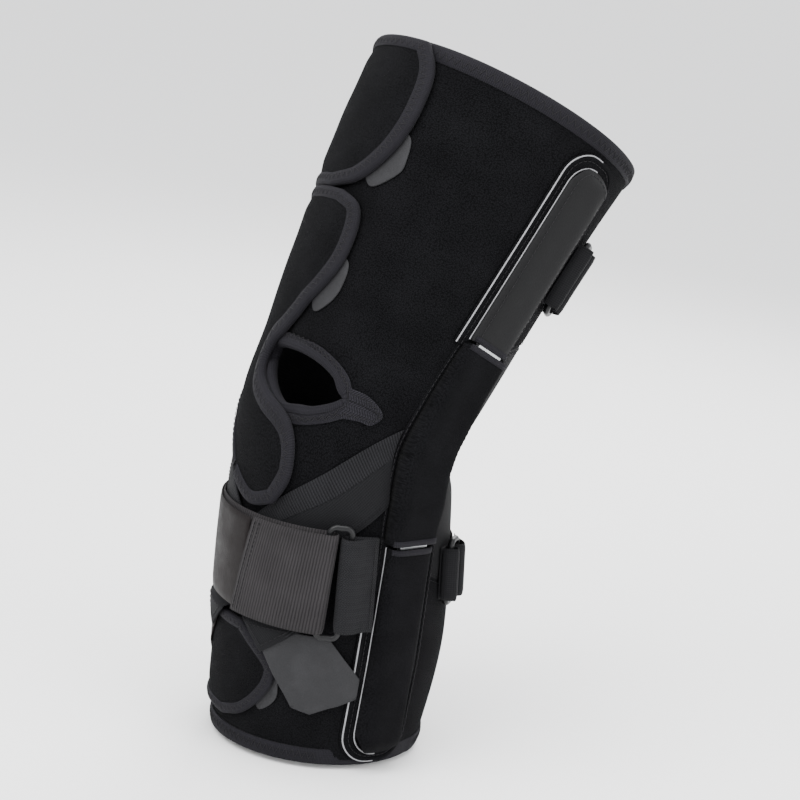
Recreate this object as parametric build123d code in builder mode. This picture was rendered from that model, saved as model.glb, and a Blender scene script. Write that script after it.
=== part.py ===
from build123d import *

import math
import os

# Hinged knee brace: a wrap of padded cloth with two sewn bars down each side, joined
# beside the knee by a hinge with two geared pivots, and closed with flaps and straps.
#
# Row frame: origin midway between the two hinges and between their upper and lower
# pivots, +X to the outer side of the leg, +Y to the back of the knee, +Z up the shin.
# The shin hangs straight down and the thigh leans back by the rest bend of the knee.

os.makedirs("parts", exist_ok=True)

# ---------------------------------------------------------------- driving dimensions
THIGH_LENGTH = 167.0  # knee centre to the top hem, along the thigh
CALF_LENGTH = 151.0  # knee centre to the bottom hem, along the shin
KNEE_WIDTH = 95.0  # across the wrap at the joint
KNEE_DEPTH = 101.0  # front to back of the wrap at the joint
REST_BEND = 26.0  # bend of the knee at rest, degrees
PIVOT_PITCH = 17.0  # upper to lower pivot of each hinge

CLOTH = 3.6  # padded cloth of the wrap
FLAP_CLOTH = 3.0  # padded cloth of the flaps
SKIN = 1.6  # single cloth of the pocket bases
POCKET_WALL = 1.5
TAB_CLOTH = 1.0  # hook tabs
STRAP_CLOTH = 1.2  # elastic straps
WEBBING = 1.3  # woven strap over the shin
BIND_WIDTH = 5.0  # tape along the edges of the flaps
BIND_THICK = 0.8
GAP = 0.3  # between layers of cloth

BAR_WIDTH = 16.0
BAR_THICK = 2.5
PLATE_THICK = 1.4
PLATE_WIDTH = 22.0
WASHER_THICK = 0.4
WASHER_RADIUS = 6.0
RIVET_RADIUS = 2.5
RIVET_HEAD_RADIUS = 4.2
INNER_HEAD = 0.8  # thickness of a rivet head on the leg side
OUTER_HEAD = 1.0
RUNNING_GAP = 0.05  # bars to washers, bars to rivets
TEETH = 14  # of a full wheel; each bar ends in one
PRESSURE_ANGLE = 25.0
BACKLASH = 0.12
STOP_WIDTH = 2.2
STOP_HALF = 3.0  # half the height of the extension stop

POCKET_HALF = 12.8  # half the width of a pocket cover
BASE_HALF = 18.5  # half the width of a pocket base
COVER_HALF = 13.0  # half the width of a hinge cover
COVER_WALL = 1.3
PAD_HALF = 10.0  # half the width of the pad behind a hinge

SHIN_STRAP_WIDTH = 49.0
RING_BAR = 3.0
RING_SLOT = 7.0  # clear width of a ring beside its straps

# The cloth pattern was drawn for this length of thigh and calf and stretches with them.
PATTERN_THIGH = 167.0
PATTERN_CALF = 151.0

# ---------------------------------------------------------------- derived values
half_pitch = PIVOT_PITCH / 2
bend = math.radians(REST_BEND)
half_bend = bend / 2
REACH = 110.0 + KNEE_WIDTH / 2  # further out than any layer

bar_in = KNEE_WIDTH / 2 + 4.95  # leg side of the bars beside the knee
bar_out = bar_in + BAR_THICK
inner_plate_out = bar_in - RUNNING_GAP - WASHER_THICK
inner_plate_in = inner_plate_out - PLATE_THICK
outer_plate_in = bar_out + RUNNING_GAP + WASHER_THICK
outer_plate_out = outer_plate_in + PLATE_THICK
head_in = inner_plate_in - INNER_HEAD
head_out = outer_plate_out + OUTER_HEAD

thigh_axis = Vector(0, math.sin(bend), math.cos(bend))
link_axis = Vector(0, math.sin(half_bend), math.cos(half_bend))
calf_axis = Vector(0, 0, 1)
across = Vector(1, 0, 0)

thigh_frame = Plane(origin=(link_axis - thigh_axis) * half_pitch, x_dir=across, z_dir=thigh_axis)
link_frame = Plane(origin=(0, 0, 0), x_dir=across, z_dir=link_axis)
calf_frame = Plane(origin=(calf_axis - link_axis) * half_pitch, x_dir=across, z_dir=calf_axis)


def graded(level):
    """A level of the cloth pattern, stretched to this brace's thigh or calf."""
    if level > 0:
        return level * THIGH_LENGTH / PATTERN_THIGH
    return level * CALF_LENGTH / PATTERN_CALF


# Outer face of the wrap: level, half width and half depth added to the knee's, and how
# far the middle of the section lies behind the axis.
thigh_stations = [
    (25, 2.6, 2.9, -3.4),
    (55, 5.8, 5.8, -5.0),
    (110, 11.5, 11.4, -7.5),
    (170, 17.8, 16.4, -6.3),
]
knee_station = (0, 0.0, 0.0, -3.5)
calf_stations = [
    (-25, 1.8, 2.5, -0.5),
    (-50, 2.5, 4.5, 1.5),
    (-100, 2.5, 6.0, 5.5),
    (-156, -0.4, 1.0, 3.2),
]


def section(stations, level):
    """Half width, half depth and middle of the wrap at a pattern level."""
    table = sorted(stations + [knee_station])
    low = max((row for row in table if row[0] <= level), default=table[0])
    high = min((row for row in table if row[0] >= level), default=table[-1])
    share = 0 if high[0] == low[0] else (level - low[0]) / (high[0] - low[0])
    wide, deep, middle = (low[i] + share * (high[i] - low[i]) for i in (1, 2, 3))
    return KNEE_WIDTH / 2 + wide, KNEE_DEPTH / 2 + deep, middle


def leg_form(height):
    """The leg in its wrap as one solid, grown all round by a height over the wrap."""
    places = [(calf_frame, row) for row in reversed(calf_stations)]
    places += [(link_frame, knee_station)]
    places += [(thigh_frame, row) for row in thigh_stations]
    with BuildPart() as form:
        for frame, (level, wide, deep, middle) in places:
            with BuildSketch(frame.offset(graded(level))):
                with Locations((0, middle)):
                    Ellipse(KNEE_WIDTH / 2 + wide + height, KNEE_DEPTH / 2 + deep + height)
        loft(ruled=True)
    return form.part


forms = {}


def leg(height):
    """The leg form of a height, made once."""
    key = round(height, 3)
    if key not in forms:
        forms[key] = leg_form(height)
    return forms[key]


def facing(frame, turn):
    """Plane through the leg's axis that faces outward at a turn from the front."""
    angle = math.radians(turn)
    back = frame.y_dir
    out = across * math.sin(angle) - back * math.cos(angle)
    return Plane(origin=frame.origin, x_dir=frame.z_dir.cross(out), z_dir=out)


def spot(frame, turn, level, around):
    """Where a point of the wrap, at a level and an angle from the front, falls on that plane."""
    stations = thigh_stations if frame is thigh_frame else calf_stations
    wide, deep, middle = section(stations, level)
    facing_angle = math.radians(turn)
    angle = math.radians(around)
    behind = middle - deep * math.cos(angle)
    beside = wide * math.sin(angle)
    return behind * math.sin(facing_angle) + beside * math.cos(facing_angle), graded(level)


def outline(frame, turn, *runs):
    """Closed outline of pattern points: a run of two is straight, a longer one is curved."""
    with BuildSketch(facing(frame, turn)) as shape:
        with BuildLine():
            for run in runs:
                spots = [spot(frame, turn, *point) for point in run]
                if len(spots) == 2:
                    Line(*spots)
                else:
                    Spline(*spots)
        make_face()
    return shape.sketch


def polygon(frame, turn, *points):
    """Closed outline with straight edges."""
    return outline(frame, turn, *zip(points, points[1:] + points[:1]))


def layer(shape, inner, outer):
    """The cloth that an outline cuts from between two heights over the wrap."""
    with BuildPart() as cloth:
        extrude(shape, amount=REACH)
        add(leg(outer), mode=Mode.INTERSECT)
        add(leg(inner), mode=Mode.SUBTRACT)
    return cloth.part


def save(piece, name):
    piece.part.label = name
    export_step(piece.part, f"parts/{name}.step")


def save_pair(piece, name):
    """Writes a piece of the outer side and its mirror image of the inner side."""
    save(piece, f"near_{name}")
    with BuildPart() as other:
        add(mirror(piece.part, about=Plane.YZ))
    save(other, f"far_{name}")


# ---------------------------------------------------------------- cuts between the panels
# The stretch panels of the knee fill a wedge, narrow in front and tall behind the knee.
def seam(frame, front_level, back_level, shift):
    """Plane of a seam across the leg, from a level in front to a level at the back."""
    front = frame.from_local_coords(Vector(0, -KNEE_DEPTH / 2, graded(front_level)))
    rear = frame.from_local_coords(Vector(0, KNEE_DEPTH / 2, graded(back_level)))
    up = across.cross(rear - front).normalized()
    return Plane(origin=front + up * shift, x_dir=across, z_dir=up)


def upper_seam(shift):
    return seam(thigh_frame, 32, 78, shift)


def lower_seam(shift):
    return seam(calf_frame, -30, -78, shift)


top_hem = thigh_frame.offset(THIGH_LENGTH)
bottom_hem = calf_frame.offset(-CALF_LENGTH)
SLIT = 1.0  # closure of the wrap under the flaps
SLIT_TURN = -22.0


def closure(frame, low, high):
    """A narrow upright slit down the front of the wrap."""
    with BuildPart() as slit:
        with BuildSketch(facing(frame, SLIT_TURN)):
            with Locations((0, (low + high) / 2)):
                Rectangle(SLIT, high - low)
        extrude(amount=REACH)
    return slit.part


# ---------------------------------------------------------------- wrap
with BuildPart() as thigh_wrap:
    add(leg(0))
    add(leg(-CLOTH), mode=Mode.SUBTRACT)
    split(bisect_by=top_hem, keep=Keep.BOTTOM)
    split(bisect_by=upper_seam(GAP / 2), keep=Keep.TOP)
    add(closure(thigh_frame, 0, THIGH_LENGTH + 10), mode=Mode.SUBTRACT)
save(thigh_wrap, "thigh_wrap")

with BuildPart() as calf_wrap:
    add(leg(0))
    add(leg(-CLOTH), mode=Mode.SUBTRACT)
    split(bisect_by=bottom_hem, keep=Keep.TOP)
    split(bisect_by=lower_seam(-GAP / 2), keep=Keep.BOTTOM)
    add(closure(calf_frame, -CALF_LENGTH - 10, 0), mode=Mode.SUBTRACT)
save(calf_wrap, "calf_wrap")

# The front panel has the opening for the kneecap, pointed at its outer end.
kneecap_opening = outline(
    thigh_frame,
    12,
    [(-6, -13), (7, -17), (16.5, -3), (16.5, 12), (13, 26), (4.5, 42)],
    [(4.5, 42), (-4, 33), (-12, 10), (-6, -13)],
)
kneecap_binding_outline = outline(
    thigh_frame,
    12,
    [(-9, -20), (8, -24), (22, -5), (22, 13), (18, 30), (12, 46)],
    [(12, 46), (12, 60), (3, 60), (0, 50)],
    [(0, 50), (-10, 34), (-18, 10), (-9, -20)],
)
PANEL_SEAM = 6.0  # where the front and rear stretch panels meet, behind the pivots
panel_seam_plane = Plane(
    origin=link_frame.from_local_coords(Vector(0, PANEL_SEAM, 0)),
    x_dir=across,
    z_dir=link_frame.y_dir,
)

with BuildPart() as knee_front_panel:
    add(leg(0))
    add(leg(-CLOTH), mode=Mode.SUBTRACT)
    split(bisect_by=upper_seam(-GAP / 2), keep=Keep.BOTTOM)
    split(bisect_by=lower_seam(GAP / 2), keep=Keep.TOP)
    split(bisect_by=panel_seam_plane.offset(-GAP / 2), keep=Keep.BOTTOM)
    extrude(kneecap_opening, amount=REACH, mode=Mode.SUBTRACT)
save(knee_front_panel, "knee_front_panel")

with BuildPart() as popliteal_panel:
    add(leg(0))
    add(leg(-CLOTH), mode=Mode.SUBTRACT)
    split(bisect_by=upper_seam(-GAP / 2), keep=Keep.BOTTOM)
    split(bisect_by=lower_seam(GAP / 2), keep=Keep.TOP)
    split(bisect_by=panel_seam_plane.offset(GAP / 2), keep=Keep.TOP)
save(popliteal_panel, "popliteal_panel")

with BuildPart() as kneecap_binding:
    add(layer(kneecap_binding_outline - kneecap_opening, GAP, GAP + BIND_THICK))
save(kneecap_binding, "kneecap_binding")

# ---------------------------------------------------------------- flaps of the thigh
tab_low, tab_high = GAP, GAP + TAB_CLOTH
flap_low = tab_high + GAP
flap_high = flap_low + FLAP_CLOTH
FAR_EDGE = -78  # turn at which the flaps are sewn to the far side
FLAP_TURN = -20  # turn of the plane on which the flaps are drawn

top_flap_outline = outline(
    thigh_frame,
    FLAP_TURN,
    [(166.5, FAR_EDGE), (166.5, 6)],
    [(166.5, 6), (157, 13), (145, 16), (127, 16), (111, 11.5), (98, 1.5), (92, -14)],
    [(92, -14), (92, FAR_EDGE)],
    [(92, FAR_EDGE), (166.5, FAR_EDGE)],
)
thigh_flap_outline = outline(
    thigh_frame,
    FLAP_TURN,
    [(90.5, FAR_EDGE), (90.5, -4)],
    [(90.5, -4), (87, 7), (78, 11.5), (62, 11.5), (48, 6.5), (34, -2)],
    [(34, -2), (42, -40)],
    [(42, -40), (56, FAR_EDGE)],
    [(56, FAR_EDGE), (90.5, FAR_EDGE)],
)
knee_flap_outline = outline(
    calf_frame,
    FLAP_TURN,
    [(27, -6), (14, -15), (2, -14), (-8, -2), (-17, 6), (-26, 8)],
    [(-26, 8), (-24, -14)],
    [(-24, -14), (3, -54)],
    [(3, -54), (31, -55)],
    [(31, -55), (27, -6)],
)

with BuildPart() as top_flap:
    add(layer(top_flap_outline, flap_low, flap_high))
save(top_flap, "top_flap")

with BuildPart() as thigh_flap:
    add(layer(thigh_flap_outline, flap_low, flap_high))
save(thigh_flap, "thigh_flap")

with BuildPart() as knee_flap:
    add(layer(knee_flap_outline, flap_low, flap_high))
save(knee_flap, "knee_flap")


def binding(shape, frame, rise):
    """Tape along the free edge of a flap: what the flap shows past a copy of itself moved in."""
    shift = facing(frame, FLAP_TURN).x_dir * -BIND_WIDTH + frame.z_dir * rise
    return shape - shape.moved(Location(shift))


with BuildPart() as top_flap_binding:
    tape = binding(top_flap_outline, thigh_frame, BIND_WIDTH)
    add(layer(tape, flap_high + GAP, flap_high + GAP + BIND_THICK))
save(top_flap_binding, "top_flap_binding")

with BuildPart() as thigh_flap_binding:
    tape = binding(thigh_flap_outline, thigh_frame, -BIND_WIDTH / 2)
    add(layer(tape, flap_high + GAP, flap_high + GAP + BIND_THICK))
save(thigh_flap_binding, "thigh_flap_binding")

top_tab_outline = polygon(
    thigh_frame, 0, (126, 8), (124, 17.5), (114, 20.5), (106.5, 19.5), (97, 9), (104, 0)
)
with BuildPart() as top_flap_tab:
    add(layer(top_tab_outline, tab_low, tab_high))
save(top_flap_tab, "top_flap_tab")

thigh_tab_outline = polygon(
    thigh_frame, 0, (64, 4), (62, 13.5), (52, 15.5), (42, 13), (34.5, 5), (44, -2)
)
with BuildPart() as thigh_flap_tab:
    add(layer(thigh_tab_outline, tab_low, tab_high))
save(thigh_flap_tab, "thigh_flap_tab")

# ---------------------------------------------------------------- pockets on both sides
# Seen square from the side: local x runs to the back, local y up the thigh or the shin.
base_low, base_high = GAP, GAP + SKIN
pocket_floor = base_high + GAP
thigh_side = facing(thigh_frame, 90)
link_side = facing(link_frame, 90)
calf_side = facing(calf_frame, 90)

BAR_BEND = 26.0  # level where the thigh bar leans out with the thigh
widest = {row[0]: row[1] for row in thigh_stations}
bar_flare = (widest[110] - widest[55]) / graded(110 - 55)

UPPER_MOUTH, UPPER_END = 57.0, 152.0
LOWER_MOUTH, LOWER_END = -42.0, -146.0
BASE_RIM = 6.0  # base past the closed end of its pocket
BASE_LIP = 4.0  # base past the mouth
BAR_SLACK = 5.0  # empty end of a pocket


def side_outline(plane, half, mouth, end, round_end):
    """A strip seen from the side, square at its mouth and rounded at its closed end."""
    with BuildSketch(plane) as strip:
        with Locations((0, (mouth + end) / 2)):
            Rectangle(2 * half, abs(end - mouth))
        closed = strip.vertices().group_by(Axis(plane.origin, plane.y_dir))[-1 if end > mouth else 0]
        fillet(closed, round_end)
    return strip.sketch


upper_mouth, upper_end = graded(UPPER_MOUTH), graded(UPPER_END)
lower_mouth, lower_end = graded(LOWER_MOUTH), graded(LOWER_END)

upper_base_outline = side_outline(
    thigh_side, BASE_HALF, upper_mouth - BASE_LIP, upper_end + BASE_RIM, BASE_HALF * 0.8
)
lower_base_outline = side_outline(
    calf_side, BASE_HALF, lower_mouth + BASE_LIP, lower_end - BASE_RIM + 1.5, BASE_HALF * 0.8
)

with BuildPart() as upper_pocket_base:
    add(layer(upper_base_outline, base_low, base_high))
save_pair(upper_pocket_base, "upper_pocket_base")

with BuildPart() as lower_pocket_base:
    add(layer(lower_base_outline, base_low, base_high))
save_pair(lower_pocket_base, "lower_pocket_base")


def bar_face(level):
    """Distance from the middle plane to the leg side of the thigh bar at a level."""
    return bar_in + bar_flare * max(level - BAR_BEND, 0)


def strip_along(frame, low, high, inner, outer, half):
    """A strip that follows the bars: a bent profile, pulled to both sides."""
    levels = [low] + ([BAR_BEND] if low < BAR_BEND < high else []) + [high]
    lean = bar_face if frame is thigh_frame else lambda level: bar_in
    profile = [(lean(level) + outer, level) for level in levels]
    profile += [(lean(level) + inner, level) for level in reversed(levels)]
    with BuildPart() as strip:
        with BuildSketch(Plane(origin=frame.origin, x_dir=across, z_dir=frame.y_dir * -1)):
            with BuildLine():
                Polyline(*profile, close=True)
            make_face()
        extrude(amount=half, both=True)
    return strip.part


def pocket(frame, plane, mouth, end):
    """Cover of a pocket: closed at its end, open at its mouth, sewn down at its sides."""
    low, high = sorted((mouth, end))
    shape = side_outline(plane, POCKET_HALF, mouth, end, POCKET_HALF * 0.9)
    room_end = end - math.copysign(BAR_SLACK - 2 * GAP, end)
    room_low, room_high = sorted((mouth - math.copysign(5, end), room_end))
    half_room = BAR_WIDTH / 2 + 2 * GAP
    outer = strip_along(frame, low, high, -20, BAR_THICK + GAP + POCKET_WALL, POCKET_HALF)
    room = strip_along(frame, room_low, room_high, -20, BAR_THICK + GAP, half_room)
    with BuildPart() as cover:
        extrude(shape, amount=REACH)
        add(outer, mode=Mode.INTERSECT)
        add(room, mode=Mode.SUBTRACT)
        add(leg(pocket_floor), mode=Mode.SUBTRACT)
    return cover.part


with BuildPart() as upper_pocket_cover:
    add(pocket(thigh_frame, thigh_side, upper_mouth, upper_end))
save_pair(upper_pocket_cover, "upper_pocket_cover")

with BuildPart() as lower_pocket_cover:
    add(pocket(calf_frame, calf_side, lower_mouth, lower_end))
save_pair(lower_pocket_cover, "lower_pocket_cover")

# ---------------------------------------------------------------- hems
HEM_HEIGHT = 7.0
HEM_PROUD = 0.8
HEM_TOP = 1.6  # past the edge of the wrap


def hem(edge, direction):
    """Binding folded over an edge of the wrap: direction 1 at the top, -1 at the bottom."""
    low, high = sorted((-HEM_HEIGHT * direction, HEM_TOP * direction))
    add(leg(GAP + HEM_PROUD))
    add(leg(-CLOTH - GAP - HEM_PROUD), mode=Mode.SUBTRACT)
    split(bisect_by=edge.offset(low), keep=Keep.TOP)
    split(bisect_by=edge.offset(high), keep=Keep.BOTTOM)


def hem_groove(edge, direction):
    """The wrap's own edge, with clearance, to cut out of a hem."""
    low, high = sorted((-2 * HEM_HEIGHT * direction, GAP * direction))
    with BuildPart() as groove:
        add(leg(GAP))
        add(leg(-CLOTH - GAP), mode=Mode.SUBTRACT)
        split(bisect_by=edge.offset(low), keep=Keep.TOP)
        split(bisect_by=edge.offset(high), keep=Keep.BOTTOM)
    return groove.part


top_groove = hem_groove(top_hem, 1)
with BuildPart() as thigh_top_hem:
    hem(top_hem, 1)
    add(top_groove, mode=Mode.SUBTRACT)
save(thigh_top_hem, "thigh_top_hem")

# The lower pocket bases lie over the bottom hem, which is cut away under them.
bottom_groove = hem_groove(bottom_hem, -1)
with BuildPart() as base_seat:
    extrude(offset(lower_base_outline, amount=GAP), amount=REACH)
    add(leg(GAP), mode=Mode.SUBTRACT)

with BuildPart() as calf_bottom_hem:
    hem(bottom_hem, -1)
    add(bottom_groove, mode=Mode.SUBTRACT)
    add(base_seat.part, mode=Mode.SUBTRACT)
    add(mirror(base_seat.part, about=Plane.YZ), mode=Mode.SUBTRACT)
save(calf_bottom_hem, "calf_bottom_hem")

# ---------------------------------------------------------------- geared bars
module = PIVOT_PITCH / TEETH
tip_radius = half_pitch + 0.75 * module
root_radius = half_pitch - module
base_radius = half_pitch * math.cos(math.radians(PRESSURE_ANGLE))
FLANK_STEPS = 5


def involute(angle):
    return math.tan(angle) - angle


def gear_outline(plane, centre, phase):
    """Wheel of involute teeth, one of them pointing along the phase angle."""
    pitch_half = (math.pi * module / 2 - BACKLASH) / PIVOT_PITCH
    flank = [(root_radius, 0.0)]
    for step in range(FLANK_STEPS):
        radius = base_radius + (tip_radius - base_radius) * step / (FLANK_STEPS - 1)
        flank.append((radius, math.acos(min(1.0, base_radius / radius))))
    start = pitch_half + involute(math.radians(PRESSURE_ANGLE))
    points = []
    for tooth in range(TEETH):
        middle = phase + tooth * 2 * math.pi / TEETH
        rising = [(radius, middle - start + involute(roll)) for radius, roll in flank]
        falling = [(radius, middle + start - involute(roll)) for radius, roll in reversed(flank)]
        points += [
            (centre[0] + radius * math.cos(angle), centre[1] + radius * math.sin(angle))
            for radius, angle in rising + falling
        ]
    with BuildSketch(plane) as wheel:
        with BuildLine():
            Polyline(*points, close=True)
        make_face()
    return wheel.sketch


LUG_IN, LUG_OUT = 6.0, 9.9  # lug of a bar that meets the extension stop
LUG_HEIGHT = 4.6
STOP_CLEARANCE = 0.15


def geared_bar(frame, plane, end, phase):
    """A bar with a toothed wheel at its pivot and a lug that meets the stop."""
    way = math.copysign(1, end)
    pivot = half_pitch * way
    tail = end - way * BAR_SLACK
    low, high = sorted((pivot, tail))
    strip = strip_along(frame, low, high, 0, BAR_THICK, BAR_WIDTH / 2)
    shape = side_outline(plane, BAR_WIDTH / 2, pivot, tail, BAR_WIDTH * 0.48)
    wheel = gear_outline(link_side.offset(bar_in), (0, pivot), phase)
    with BuildPart() as bar:
        extrude(shape, amount=REACH)
        add(strip, mode=Mode.INTERSECT)
        extrude(wheel, amount=BAR_THICK)
        with BuildSketch(plane.offset(bar_in)):
            with Locations(
                (-(LUG_IN + LUG_OUT) / 2, way * (STOP_HALF + STOP_CLEARANCE + LUG_HEIGHT / 2))
            ):
                Rectangle(LUG_OUT - LUG_IN, LUG_HEIGHT)
        extrude(amount=BAR_THICK)
        with BuildSketch(plane.offset(bar_in)):
            with Locations((0, pivot)):
                Circle(RIVET_RADIUS + RUNNING_GAP)
        extrude(amount=BAR_THICK, mode=Mode.SUBTRACT)
    return bar.part


# At rest a tooth of the upper wheel points at a gap of the lower wheel.
with BuildPart() as thigh_bar:
    add(geared_bar(thigh_frame, thigh_side, upper_end, -math.pi / 2))
save_pair(thigh_bar, "thigh_bar")

with BuildPart() as calf_bar:
    add(geared_bar(calf_frame, calf_side, lower_end, math.pi / 2 + math.pi / TEETH))
save_pair(calf_bar, "calf_bar")

# ---------------------------------------------------------------- hinges
pivots = [(0, half_pitch), (0, -half_pitch)]


with BuildPart() as hinge_inner_plate:
    with BuildSketch(link_side.offset(inner_plate_in)):
        SlotCenterToCenter(PIVOT_PITCH, PLATE_WIDTH, rotation=90)
        with Locations(*pivots):
            Circle(RIVET_RADIUS, mode=Mode.SUBTRACT)
    extrude(amount=PLATE_THICK)
save_pair(hinge_inner_plate, "hinge_inner_plate")

with BuildPart() as hinge_outer_plate:
    with BuildSketch(link_side.offset(outer_plate_in)):
        SlotCenterToCenter(PIVOT_PITCH, PLATE_WIDTH, rotation=90)
        with Locations(*pivots):
            Circle(RIVET_RADIUS, mode=Mode.SUBTRACT)
    extrude(amount=PLATE_THICK)
    chamfer(faces().sort_by(Axis.X)[-1].outer_wire().edges(), 0.4)
save_pair(hinge_outer_plate, "hinge_outer_plate")

with BuildPart() as hinge_rivets:
    with BuildSketch(link_side.offset(inner_plate_in)):
        with Locations(*pivots):
            Circle(RIVET_RADIUS)
    extrude(amount=outer_plate_out - inner_plate_in)
    with BuildSketch(link_side.offset(head_in)):
        with Locations(*pivots):
            Circle(RIVET_HEAD_RADIUS)
    extrude(amount=INNER_HEAD)
    with BuildSketch(link_side.offset(outer_plate_out)):
        with Locations(*pivots):
            Circle(RIVET_HEAD_RADIUS)
    extrude(amount=OUTER_HEAD)
save_pair(hinge_rivets, "hinge_rivets")

with BuildPart() as hinge_washers:
    for face in (inner_plate_out, bar_out + RUNNING_GAP):
        with BuildSketch(link_side.offset(face)):
            with Locations(*pivots):
                Circle(WASHER_RADIUS)
                Circle(RIVET_RADIUS, mode=Mode.SUBTRACT)
        extrude(amount=WASHER_THICK)
save_pair(hinge_washers, "hinge_washers")

STOP_CENTRE = -(LUG_OUT + 0.7 - STOP_WIDTH / 2)
with BuildPart() as extension_stop:
    with BuildSketch(link_side.offset(inner_plate_out)):
        with Locations((STOP_CENTRE, 0)):
            Rectangle(STOP_WIDTH, 2 * STOP_HALF)
    extrude(amount=outer_plate_in - inner_plate_out)
save_pair(extension_stop, "extension_stop")

with BuildPart() as condyle_pad:
    with BuildSketch(link_side.offset(head_in - GAP)):
        SlotCenterToCenter(PIVOT_PITCH, 2 * PAD_HALF, rotation=90)
    extrude(amount=-12)
    add(leg(GAP), mode=Mode.SUBTRACT)
save_pair(condyle_pad, "condyle_pad")

cover_room = head_out - bar_in + GAP
cover_top = upper_mouth - BASE_LIP - GAP
cover_bottom = lower_mouth + BASE_LIP + GAP


COVER_DEPTH = 14.0  # from the bars inward, cut off by the leg


def cover_body(outer, half, past):
    """A sleeve round the hinge: a half along each bar and a round-ended middle."""
    add(strip_along(thigh_frame, 0, cover_top + past, -COVER_DEPTH, outer, half))
    add(strip_along(calf_frame, cover_bottom - past, 0, -COVER_DEPTH, outer, half))
    with BuildSketch(link_side.offset(bar_in - COVER_DEPTH)) as middle:
        SlotCenterToCenter(PIVOT_PITCH, 2 * half, rotation=90)
    extrude(middle.sketch, amount=COVER_DEPTH + outer)


with BuildPart() as cover_hollow:
    cover_body(cover_room, COVER_HALF - COVER_WALL, 5)

with BuildPart() as hinge_cover:
    cover_body(cover_room + COVER_WALL, COVER_HALF, 0)
    add(cover_hollow.part, mode=Mode.SUBTRACT)
    add(leg(GAP), mode=Mode.SUBTRACT)
save_pair(hinge_cover, "hinge_cover")

# ---------------------------------------------------------------- crossed straps of the shin
cross_low, cross_high = GAP, GAP + STRAP_CLOTH - 0.2
over_low = cross_high + GAP
over_high = over_low + STRAP_CLOTH
shin_flap_low = GAP
shin_flap_high = GAP + FLAP_CLOTH - 0.3
cross_tab_low = shin_flap_high + GAP
end_low = cross_tab_low + TAB_CLOTH + GAP
end_high = end_low + STRAP_CLOTH

COVER_EDGE = 74.0  # turn at which the crossed straps leave the hinge covers
UNDER_SHIN = -85.0  # level below which a crossed strap lies over the shin flap


def cross_strap(sign, low, high, upper_part):
    """Half of a crossed strap: above or below the lower edge of the shin strap."""
    turn = 22 * sign
    top = [(10, COVER_EDGE), (0, 54), (-28, 14), (-57, -14), (UNDER_SHIN, -40)]
    bottom = [(UNDER_SHIN, -8), (-62, 25), (-35, 63), (-24, COVER_EDGE)]
    if upper_part:
        runs = [top, [top[-1], bottom[0]], bottom, [bottom[-1], top[0]]]
    else:
        tip = (-100, -20)
        runs = [
            [(UNDER_SHIN, -40), tip],
            [tip, (-87, -9)],
            [(-87, -9), (UNDER_SHIN, -8)],
            [(UNDER_SHIN, -8), (UNDER_SHIN, -40)],
        ]
    turned = [[(level, around * sign) for level, around in run] for run in runs]
    return layer(outline(calf_frame, turn, *turned), low, high)


def strap_end(sign, low, high):
    """Stitched end of a crossed strap, on top of the shin flap or the wrap."""
    points = [(-84.6, -41), (-100.5, -20), (-87, -8), (-85.3, -9)]
    return layer(polygon(calf_frame, 22 * sign, *[(s, a * sign) for s, a in points]), low, high)


def strap_step(sign, low, high):
    """Short step that joins the two heights of a crossed strap."""
    points = [(-84.4, -39), (-86.0, -40.5), (-88, -11), (-84.4, -11)]
    return layer(polygon(calf_frame, 22 * sign, *[(s, a * sign) for s, a in points]), low, high)


with BuildPart() as near_cross_strap:
    add(cross_strap(1, cross_low, cross_high, True))
    add(strap_step(1, cross_low, end_high))
    add(strap_end(1, end_low, end_high))
save(near_cross_strap, "near_cross_strap")

with BuildPart() as far_cross_strap:
    add(cross_strap(-1, over_low, over_high, True))
    add(strap_step(-1, over_low, end_high))
    add(strap_end(-1, end_low, end_high))
save(far_cross_strap, "far_cross_strap")

# ---------------------------------------------------------------- flap of the shin
SHIN_FAR_EDGE = -63  # turn at which the shin flap is sewn, beside the inner pocket
shin_flap_outline = outline(
    calf_frame,
    FLAP_TURN,
    [(-90, SHIN_FAR_EDGE), (-90, 5)],
    [(-90, 5), (-104, 24), (-113, 26.5), (-124, 21), (-134, 10), (-139, -4)],
    [(-139, -4), (-139, SHIN_FAR_EDGE)],
    [(-139, SHIN_FAR_EDGE), (-90, SHIN_FAR_EDGE)],
)
with BuildPart() as shin_flap:
    add(layer(shin_flap_outline, shin_flap_low, shin_flap_high))
save(shin_flap, "shin_flap")

SHIN_TAB = [
    (-107.5, 26.5),
    (-110, 28.5),
    (-122.5, 29.5),
    (-130.5, 20.5),
    (-129, 17),
    (-122, 23.5),
    (-113, 28),
]
shin_tab_outline = polygon(calf_frame, 0, *SHIN_TAB)
with BuildPart() as shin_flap_tab:
    add(layer(shin_tab_outline, GAP, GAP + TAB_CLOTH))
save(shin_flap_tab, "shin_flap_tab")

with BuildPart() as shin_flap_binding:
    tape = binding(shin_flap_outline, calf_frame, BIND_WIDTH)
    add(layer(tape, shin_flap_high + GAP, shin_flap_high + GAP + BIND_THICK / 2))
save(shin_flap_binding, "shin_flap_binding")

# ---------------------------------------------------------------- tabs of the crossed straps
TAB_OUTLINE = [
    (-88, 14),
    (-100.5, 21),
    (-125, 38),
    (-127, 48),
    (-117, 69),
    (-107, 69),
    (-88, 52),
    (-88, 38),
]


def cross_tab(sign):
    """Hook tab under the end of a crossed strap; sign 1 is the one at the outer side."""
    turned = [(level, around * sign) for level, around in TAB_OUTLINE]
    return layer(polygon(calf_frame, 40 * sign, *turned), cross_tab_low, cross_tab_low + TAB_CLOTH)


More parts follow.
